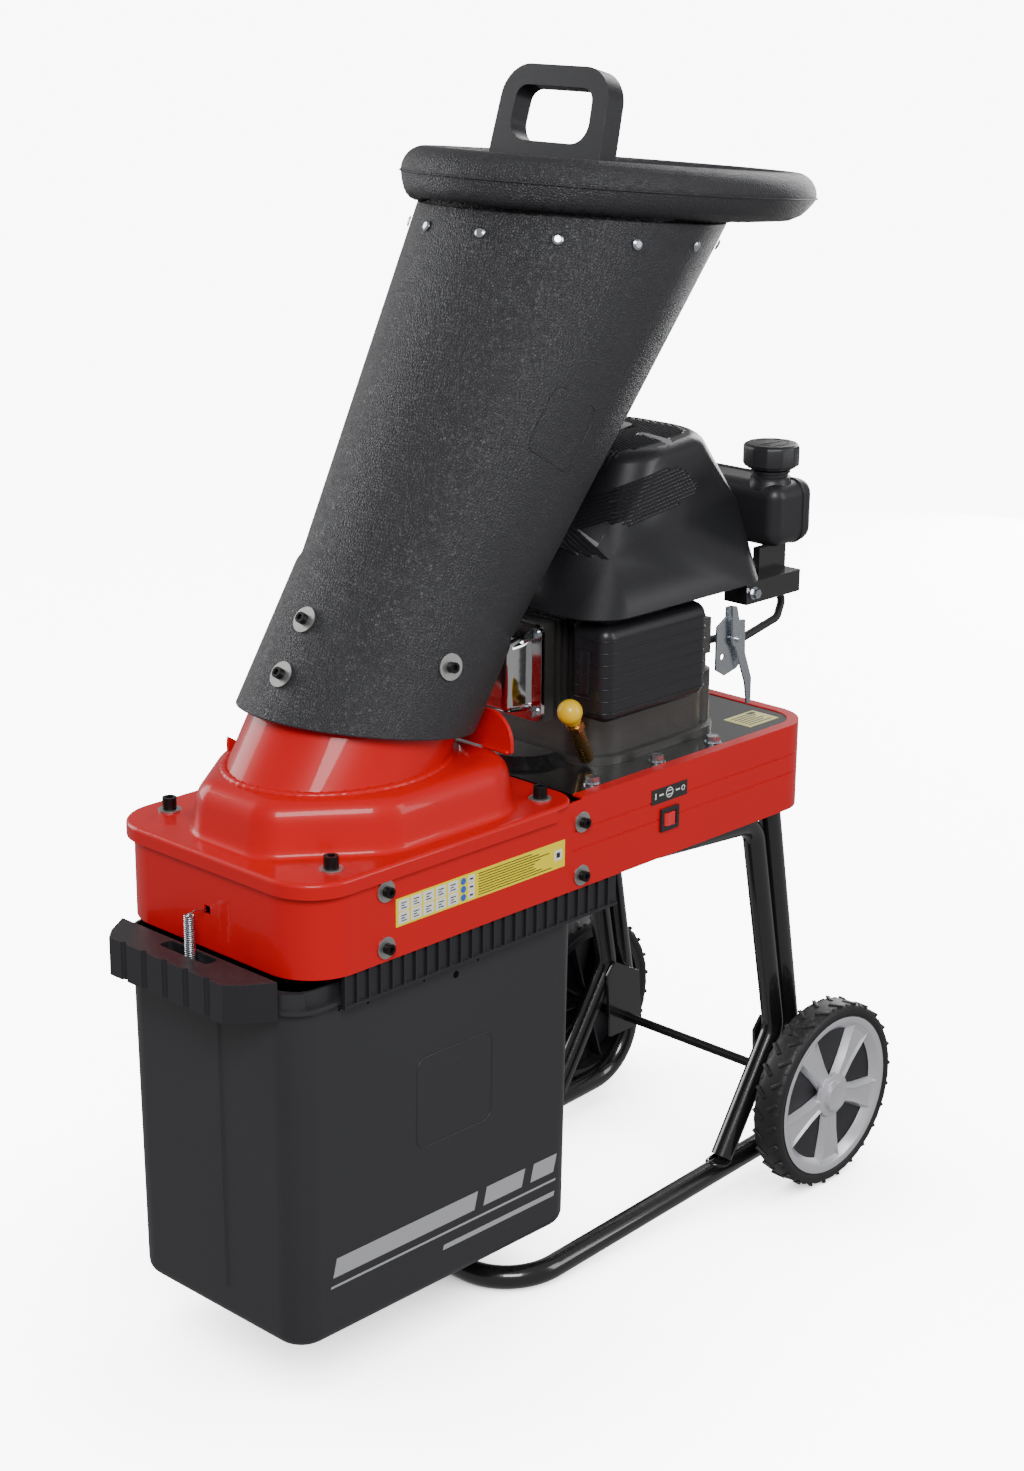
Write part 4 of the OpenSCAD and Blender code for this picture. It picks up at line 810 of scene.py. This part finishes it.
blowerSpec = {"low": (4, -123, 652), "high": (258, 123, 796), "crease": ((4, 716), (258, 745)),
              "creaseFront": 34, "topFront": (94, 86, 788), "topRear": (226, 70, 796), "round": 40,
              "wall": 2.5}


def makeBlower(c):
    x0, y0, z0 = c["low"]
    x1, y1, z1 = c["high"]
    bm = boxMesh(c["low"], c["high"])
    (ax, az), (bx, bz) = c["crease"]
    across = Vector((az - bz, 0, bx - ax)).normalized()
    cutAt(bm, (ax * mm, 0, az * mm), across)
    for v in bm.verts:
        if v.co.z > (z1 - 1) * mm:
            x, y, z = c["topFront"] if v.co.x < (x0 + 5) * mm else c["topRear"]
            v.co = (x * mm, (y if v.co.y > 0 else -y) * mm, z * mm)
        elif v.co.z > (z0 + 5) * mm and v.co.x < (x0 + 5) * mm:
            v.co += Vector(((c["creaseFront"] - x0), 0, (c["creaseFront"] - x0) * (bz - az) / (bx - ax))) * mm
    upright = [e for e in bm.edges if abs(e.verts[0].co.z - e.verts[1].co.z) > 30 * mm
               and abs(e.verts[0].co.x - e.verts[1].co.x) < 80 * mm]
    roundEdges(bm, upright, c["round"] * mm, 9)
    bm.normal_update()
    ring = [e for e in sharpEdges(bm, 12)
            if all(abs((v.co - Vector((ax * mm, 0, az * mm))).dot(across)) < 0.0005 for v in e.verts)]
    roundEdges(bm, ring, 9 * mm, 4)
    bm.normal_update()
    crown = [e for e in sharpEdges(bm, 16) if min(v.co.z for v in e.verts) > (c["topFront"][2] - 6) * mm]
    roundEdges(bm, crown, 11 * mm, 5)
    for f in [f for f in bm.faces if f.calc_center_median().z < (z0 + 0.5) * mm]:
        bm.faces.remove(f)
    bmesh.ops.remove_doubles(bm, verts=bm.verts, dist=0.0003)
    bmesh.ops.dissolve_degenerate(bm, edges=bm.edges, dist=0.0003)
    skin = BVHTree.FromBMesh(bm)
    obj = chassisPiece(bm, "blowerShell", "coverPlastic", ["blower_cover"], 40)
    thicken(weighted(obj), c["wall"], even=False)
    return skin


def onSkin(skin, start, aim, lift=0.0):
    # where a ray from outside meets the skin, lifted back along the ray
    aim = Vector(aim).normalized()
    hit = skin.ray_cast(Vector(start) * mm, aim)[0]
    return None if hit is None else hit - aim * lift * mm


def slotRows(rows, count, pitch, tall, inset, deep, keep):
    # rows of small pockets, each row shifted by half a pocket
    bm = bmesh.new()
    for j in range(rows):
        row = bmesh.new()
        bmesh.ops.create_grid(row, x_segments=count, y_segments=1, size=0.5)
        shift = 0.5 * (j % 2)
        for v in row.verts:
            v.co = ((v.co.x + 0.5) * count * pitch + shift * pitch, (v.co.y + 0.5 + j) * tall, 0)
        addTo(bm, row)
    gone = [f for f in bm.faces if not keep(*f.calc_center_median().xy)]
    bmesh.ops.delete(bm, geom=gone, context="FACES")
    bmesh.ops.inset_individual(bm, faces=bm.faces[:], thickness=inset, depth=-deep, use_even_offset=True)
    return bm


def layOn(bm, skin, start, aim, lift):
    # lays a mesh on the skin: start gives each vertex its ray, and its z is read as a height in mm
    gone = []
    for v in bm.verts:
        hit = onSkin(skin, start(v.co.x, v.co.y), aim, lift + v.co.z)
        if hit is None:
            gone.append(v)
        else:
            v.co = hit
    bmesh.ops.delete(bm, geom=gone, context="VERTS")


def makeGrilles(skin):
    for s, tag in ((-1, "Near"), (1, "Far")):
        def keep(x, y):
            high = 44 if x < 96 else 44 * sqrt(max(0.0, 1 - ((x - 96) / 50) ** 2))
            return 10 < x < 142 and 3 + 0.05 * x + 0.5 * max(0, 50 - x) < y < high
        bm = slotRows(13, 32, 4.6, 3.5, 0.6, 1.7, keep)
        layOn(bm, skin, lambda x, y: (36 + x + 0.1 * y, s * 170, 742 + 0.13 * x + 1.05 * y), (0, -s, -0.35), 1.3)
        obj = chassisPiece(bm, "shoulderGrille" + tag, "coverPlastic", angle=30)
        thicken(obj, 1.5, even=False)
    bm = slotRows(26, 30, 4.7, 4.7, 0.7, 1.4, lambda x, y: (x - 70) ** 4 / 66 ** 4 + (y - 60) ** 4 / 58 ** 4 < 1)
    layOn(bm, skin, lambda x, y: (74 + x, y - 60, 900), (0, 0, -1), 1.0)
    obj = chassisPiece(bm, "crownGrille", "coverPlastic", ["starter_screen"], 30)
    thicken(obj, 1.3, even=False)
    # these plates are in metres, so read as mm they lie on the skin with almost no thickness
    for name, low, high in (("crownPanelNear", (52, -74), (158, -26)), ("crownPanelFar", (84, 0), (186, 46))):
        width, depth = high[0] - low[0], high[1] - low[1]
        bm = plateMesh([(0, 0), (width, 0), (width + 9, depth), (9, depth)], 0.6, 7, 0, 6)
        layOn(bm, skin, lambda x, y: (low[0] + x / mm, low[1] + y / mm, 900), (0, 0, -1), 2.2)
        chassisPiece(bm, name, "glossPlastic", angle=60)
    # screw well near the rear end, a short lip round a bottom painted black as the shade inside the well
    aim = Vector((-0.55, 0.5, -0.66))
    place = onSkin(skin, Vector((240, -66, 776)) - aim * 90, aim, 0.3)
    place = Vector((240, -66, 776)) * mm if place is None else place
    bm = spun([(5.6, 0.0), (6.6, 0.7), (7.6, 0.6), (8.4, 0.0), (8.4, -1), (5.6, -1)], 32, True)
    move(bm, turned(place / mm, -aim, (1, 0, 0.2)))
    chassisPiece(bm, "screwWellLip", "coverPlastic", angle=60)
    bm = spun([(0, 0.15), (5.7, 0.2), (5.7, -0.8), (0, -0.8)], 32)
    move(bm, turned(place / mm, -aim))
    chassisPiece(bm, "screwWellShade", "holeShadeBlack", angle=60)


makeGrilles(makeBlower(blowerSpec))
print("blower cover ready")

# ---------- air filter cover ----------

filterSpec = {"low": (24, -112, 548), "high": (174, -74, 642), "round": 13, "lines": 7, "pitch": 11.6}


def makeFilter(c):
    bm = boxMesh(c["low"], c["high"])
    back = (c["high"][1] - 0.5) * mm
    edges = [e for e in bm.edges if not all(v.co.y > back for v in e.verts)]
    roundEdges(bm, edges, c["round"] * mm, 6)
    weighted(chassisPiece(bm, "filterShell", "coverPlastic", ["filter_cover"], 50))
    (x0, y0, z0), (x1, y1, z1) = c["low"], c["high"]
    bm = bmesh.new()
    for i in range(c["lines"]):
        z = z0 + 11 + i * c["pitch"]
        path = roundedPath([(x0, y1, z), (x0, y0, z), (x1, y0, z), (x1, y1, z)], c["round"], 8)
        addTo(bm, wire([path], 0.75, False, 2))
    chassisPiece(bm, "filterLines", "coverPlastic", angle=60)
    # clip on the left flank
    clip = boxMesh((x0 - 2.2, -92, 575), (x0 + 1, -80, 617), 0.8, 2)
    chassisPiece(clip, "filterClip", "coverPlastic", angle=40)


makeFilter(filterSpec)

# ---------- fuel tank and cap ----------

tankSpec = {"low": (262, -118, 677), "high": (326, 64, 740), "round": 15, "neck": (287, -90), "capLow": 753,
            "capHigh": 777, "capRadius": 28}


def makeTank(c):
    bm = boxMesh(c["low"], c["high"], c["round"], 7)
    outline = [(c["low"][1] - 1.2, c["low"][2] - 1.2), (c["high"][1] + 1.2, c["low"][2] - 1.2),
               (c["high"][1] + 1.2, c["high"][2] + 1.2), (c["low"][1] - 1.2, c["high"][2] + 1.2)]
    addTo(bm, plateMesh(outline, 3, 16, 0.8, 8), turned((304, 0, 0), (1, 0, 0), (0, 1, 0)))
    x, y = c["neck"]
    neck = [(15.5, 730), (23, 734), (21, 739), (19.5, 741), (19.5, 744), (17.6, 745), (17.6, 747.5), (19.4, 748.3),
            (19.4, 750.6), (16.5, 751.5), (16.5, 760), (12.5, 760), (12.5, 730)]
    addTo(bm, spun(neck, 48, True), Matrix.Translation((x * mm, y * mm, 0)))
    addTo(bm, spun([(0, 668), (4, 668), (4.8, 671), (4, 674), (4, 680), (0, 680)], 24),
          Matrix.Translation((272 * mm, -70 * mm, 0)))
    weighted(chassisPiece(bm, "tankShell", "satinPlastic", ["fuel_tank"], 40))
    r, low, high = c["capRadius"], c["capLow"], c["capHigh"]
    bm = spun([(0, high), (22, high), (25, high - 0.4), (27.2, high - 2.2), (r, high - 4.5), (r, low + 3.5),
               (r - 1, low + 2.2), (24, low + 1.8), (24, low), (14, low), (14, low - 7), (0, low - 7)], 12)
    bm.normal_update()
    uprights = [e for e in sharpEdges(bm, 24) if abs(e.verts[0].co.z - e.verts[1].co.z) > 8 * mm
                and e.verts[0].co.xy.length > 26 * mm]
    roundEdges(bm, uprights, 1.2 * mm, 3)
    addTo(bm, spun([(16.5, high + 0.5), (17.5, high + 0.5), (17.8, high - 0.2), (16.2, high - 0.2)], 48, True))
    addTo(bm, boxMesh((-11, -2.6, high - 0.3), (11, 2.6, high + 0.6), 0.3, 2))
    bmesh.ops.translate(bm, vec=(x * mm, y * mm, 0), verts=bm.verts)
    pieceFrom(bm, "tankCap", bodyOf["fuel_cap"], mats["satinPlastic"], ["fuel_cap"], 22)


makeTank(tankSpec)
print("tank ready")

# ---------- latch spring ----------

springSpec = {"x": -384, "radius": 4.2, "wire": 0.85, "low": 399, "high": 445, "pitch": 1.95, "hookTo": -363.6}


def makeSpring(c):
    turns = (c["high"] - c["low"]) / c["pitch"]
    count = int(turns * 18)
    coil = [(c["x"] + c["radius"] * cos(2 * pi * i / 18), c["radius"] * sin(2 * pi * i / 18),
             c["low"] + c["pitch"] * i / 18) for i in range(count + 1)]
    x, y, z = coil[-1]
    hook = [(c["x"] + 6, 0, z + 2.5), (c["x"] + 12, 0, z + 1), (c["hookTo"], 0, 444)]
    tail = [(c["x"], 0, c["low"] - 4), (c["x"] + 2, 0, c["low"] - 2)]
    bm = wire([tail + coil + hook], c["wire"], False, 3)
    node = "latch_spring"
    pieceFrom(bm, "springCoil", bodyOf[node], mats["zinc"], [node], 60)


makeSpring(springSpec)

# ---------- pusher handle ----------

gripSpec = {"at": (58, 0, 1044), "lean": 14.7, "width": 138, "high": 94, "thick": 22, "corner": 30, "bar": 19}


def makeGrip(c):
    half = c["width"] / 2
    bm = bmesh.new()
    outline = [(-half, 0), (half, 0), (half - 5, c["high"]), (-half + 5, c["high"])]
    face = bm.faces.new([bm.verts.new((x * mm, y * mm, 0)) for x, y in outline])
    top = [v for v in face.verts if v.co.y > 0.01]
    roundCorners(bm, top, c["corner"] * mm, 12)
    face = bm.faces[:][0]
    bmesh.ops.inset_region(bm, faces=[face], thickness=c["bar"] * mm, depth=0.0, use_even_offset=True,
                           use_boundary=True)
    inner = [v for v in face.verts if v.co.y < 0.03]
    for v in inner:
        v.co.y += 0.006
    roundCorners(bm, inner, 20 * mm, 10)
    hole = min(bm.faces, key=lambda f: (f.calc_center_median() - Vector((0, 0.05, 0))).length)
    bmesh.ops.delete(bm, geom=[hole], context="FACES_ONLY")
    lift = bmesh.ops.extrude_face_region(bm, geom=bm.faces[:])
    up = [v for v in lift["geom"] if isinstance(v, bmesh.types.BMVert)]
    bmesh.ops.translate(bm, vec=(0, 0, c["thick"] * mm), verts=up)
    bmesh.ops.translate(bm, vec=(0, 0, -c["thick"] / 2 * mm), verts=bm.verts)
    bmesh.ops.recalc_face_normals(bm, faces=bm.faces)
    roundEdges(bm, sharpEdges(bm, 60), 5.5 * mm, 5)
    place = (Matrix.Translation(Vector(c["at"]) * mm) @ Matrix.Rotation(radians(c["lean"]), 4, "Y")
             @ Matrix.Rotation(radians(90), 4, "Z") @ Matrix.Rotation(radians(90), 4, "X"))
    move(bm, place)
    weighted(pieceFrom(bm, "pusherRing", "pusher", mats["satinPlastic"],
                       ["pusher_handle"], 50))


makeGrip(gripSpec)

# ---------- labels with plain shapes ----------

labelSpec = {"x": -264, "z": 436, "y": 131.42, "length": 214}


def filmShapes(name, material, boxes=(), discs=(), rings=(), y=0.0, side=-1, lift=0.14):
    bm = bmesh.new()
    for x0, z0, x1, z1 in boxes:
        low, high = sorted((side * y, side * (y + lift)))
        addTo(bm, boxMesh((x0, low, z0), (x1, high, z1)))
    for x, z, r in discs:
        addTo(bm, spun([(0, lift), (r, lift), (r, 0), (0, 0)], 24), turned((x, side * y, z), (0, side, 0)))
    for x, z, r, w in rings:
        addTo(bm, spun([(r, 0), (r, lift), (r + w, lift), (r + w, 0)], 24, True),
              turned((x, side * y, z), (0, side, 0)))
    chassisPiece(bm, name, material, angle=30)


def makeLabels(c):
    for side in (-1, 1):
        start, turn = (c["x"], 1) if side < 0 else (c["x"] + c["length"], -1)

        def span(a, b):
            return (start + a, start + b) if turn > 0 else (start - b, start - a)
        tag = "Near" if side < 0 else "Far"
        rows = ((c["z"] + 2, c["z"] + 12.4), (c["z"] + 13.6, c["z"] + 24))
        white, dark = [], []
        for i in range(5):
            for low, high in rows:
                a, b = span(3 + 15 * i, 15.6 + 15 * i)
                white.append((a, low, b, high))
                a, b = span(6 + 15 * i, 12.6 + 15 * i)
                dark += [(a, low + 2.0 + 2.4 * k, b - (k % 2) * 2.4, low + 3.0 + 2.4 * k) for k in range(3)]
        for k in range(3):
            a, b = span(88, 96)
            white.append((a, c["z"] + 2 + 7.6 * k, b, c["z"] + 8.6 + 7.6 * k))
            a, b = span(90, 94)
            dark.append((a, c["z"] + 4.4 + 7.6 * k, b, c["z"] + 6.2 + 7.6 * k))
        a, b = span(200, 210)
        white.append((a, c["z"] + 8, b, c["z"] + 18))
        a, b = span(202.6, 207.4)
        dark.append((a, c["z"] + 10.6, b, c["z"] + 15.4))
        for k in range(9):
            a, b = span(101, 196 - (13 * k * k) % 31)
            dark.append((a, c["z"] + 2.4 + 2.5 * k, b, c["z"] + 3.2 + 2.5 * k))
        a, b = span(82, 82)
        discs = [(a, c["z"] + 5.3 + 7.6 * k, 3.3) for k in range(3)]
        filmShapes("labelBoxes" + tag, "whiteFilm", white, y=c["y"], side=side)
        filmShapes("labelBars" + tag, "blackFilm", dark, y=c["y"] + 0.12, side=side)
        filmShapes("labelDiscs" + tag, "blueFilm", (), discs, y=c["y"], side=side)
    filmShapes("switchMarks", "whiteFilm",
               [(76, 469, 77.6, 475), (82, 471.2, 88, 472.8), (106, 471.2, 112, 472.8), (94, 469.6, 100, 470.6),
                (94, 473.4, 100, 474.4)], (), [(97, 472, 4.2, 1.0), (117, 472, 1.8, 0.9)], y=c["y"])
    bm = bmesh.new()
    for k in range(6):
        addTo(bm, boxMesh((256, -100 + 4.6 * k, 496.4), (292 - (k * 7) % 13, -98.4 + 4.6 * k, 496.56)))
    addTo(bm, boxMesh((284, -78, 496.4), (294, -73, 496.56)))
    chassisPiece(bm, "rearBars", "blackFilm", angle=30)


makeLabels(labelSpec)

# ---------- bin details ----------

binSpec = {"half": 117, "draft": 0.0087, "top": 398, "panel": (-224, 204, -128, 293), "corner": 11,
           "stripes": [(-330, -38, 106, 2.2), (-327, -149, 116, 18), (-137, -85, 116, 18), (-73, -41, 116, 18),
                       (-190, -40, 90, 5)],
           "hole": (-176, 362), "seamY": -18}


def binSide(x, z, out=0.0):
    return (x, -(binSpec["half"] - binSpec["draft"] * (binSpec["top"] - z)) - out, z)


def makeBinDetails(c):
    x0, z0, x1, z1 = c["panel"]
    ring = roundedPath([((x0 + x1) / 2, 0, z0), (x1, 0, z0), (x1, 0, z1), (x0, 0, z1), (x0, 0, z0),
                        ((x0 + x1) / 2, 0, z0)], c["corner"], 6)
    bm = wire([[binSide(p[0], p[2], -0.15) for p in ring]], 0.75, True, 2)
    # parting line down the front
    seam = [(-371.2 + c["draft"] * (c["top"] - z), c["seamY"], z) for z in (376, 240, 86)]
    addTo(bm, wire([seam], 0.35, False, 2))
    pieceFrom(bm, "binPanelFrame", "bin", mats["binPlastic"], angle=60)
    # painted shade: black discs on the bin side stand in for the shade inside its hole and pits
    bm = bmesh.new()
    x, z = c["hole"]
    addTo(bm, spun([(0, 0.15), (3.0, 0.15), (3.6, 0), (0, 0)], 20), turned(binSide(x, z), (0, -1, 0)))
    for k in range(7):
        addTo(bm, spun([(0, 0.12), (1.0, 0.12), (1.3, 0), (0, 0)], 12),
              turned(binSide(-318 + 34 * k, 372 - (k % 2) * 4), (0, -1, 0)))
    pieceFrom(bm, "binPitShades", "bin", mats["holeShadeBlack"], angle=60)
    bm = bmesh.new()
    for low, high, z, tall in c["stripes"]:
        outline = [(low, z), (high, z), (high + tall * 0.25, z + tall), (low + tall * 0.25, z + tall)]
        plate = plateMesh(outline, 0.16)
        move(plate, turned((0, 0, 0), (0, -1, 0), (1, 0, 0)))
        for v in plate.verts:
            v.co = Vector(binSide(v.co.x / mm, v.co.z / mm, -v.co.y / mm)) * mm
        addTo(bm, plate)
    pieceFrom(bm, "binStripes", "bin", mats["silverInk"], angle=30)


makeBinDetails(binSpec)
print("labels and bin details ready")

# ---------- the parts that keep their CAD shape ----------

dressing = {
    "axle_plates": ("blackPaint", 0.6), "wheel_axle": ("blackOxide", 0.5), "axle_rings": ("zinc", 0.4),
    "front_tub": ("redPaint", 0.5), "rear_skirt": ("redPaint", 0.5), "deck_plate": ("blackPaint", 0.5),
    "inlet_neck": ("redPaint", 0.7), "chamber_floor": ("blackPaint", 0.5), "belt_guard": ("blackPaint", 0.5),
    "cap_screws": ("blackOxide", 0.35), "washers": ("washerSteel", 0.25), "deck_bolts": ("zinc", 0.3),
    "bin_rails": ("satinPlastic", 0.3), "side_label": ("yellowFilm", 0), "switch_label": ("blackFilm", 0),
    "rear_label": ("paleYellowFilm", 0), "switch_bezel": ("satinPlastic", 0.6),
    "switch_rocker": ("redRocker", 0.4), "chute_rivets": ("zinc", 0.2), "kickback_flap": ("rubber", 0.4),
    "pusher_blade": ("satinPlastic", 1), "catch_bin": ("binPlastic", 0.5),
    "bin_handle": ("satinPlastic", 2.6), "crankcase": ("castAlloy", 0.8), "cylinder": ("castAlloy", 0.4),
    "valve_cover": ("chrome", 0.8), "engine_bolts": ("zinc", 0.3), "spark_plug": ("porcelain", 0.4),
    "filter_base": ("satinPlastic", 0.6), "carburettor": ("castAlloy", 0.6),
    "starter_grip": ("satinPlastic", 0.6), "fuel_hose": ("rubber", 0), "tank_bracket": ("blackPaint", 0.4),
    "throttle_plate": ("zinc", 0.3), "throttle_lever": ("zinc", 0.3), "oil_filler": ("brass", 0.4),
    "oil_cap": ("yellowPlastic", 0.5), "muffler": ("toolSteel", 0), "crankshaft": ("toolSteel", 0.4),
    "cutter_rotor": ("toolSteel", 0.4), "drive_belt": ("rubber", 0.3),
}
for node, (finishName, width) in dressing.items():
    dress(node, mats[finishName], width, 3 if width >= 1 else 2)
print("dressed", len(dressing), "parts")

bpy.context.view_layer.update()
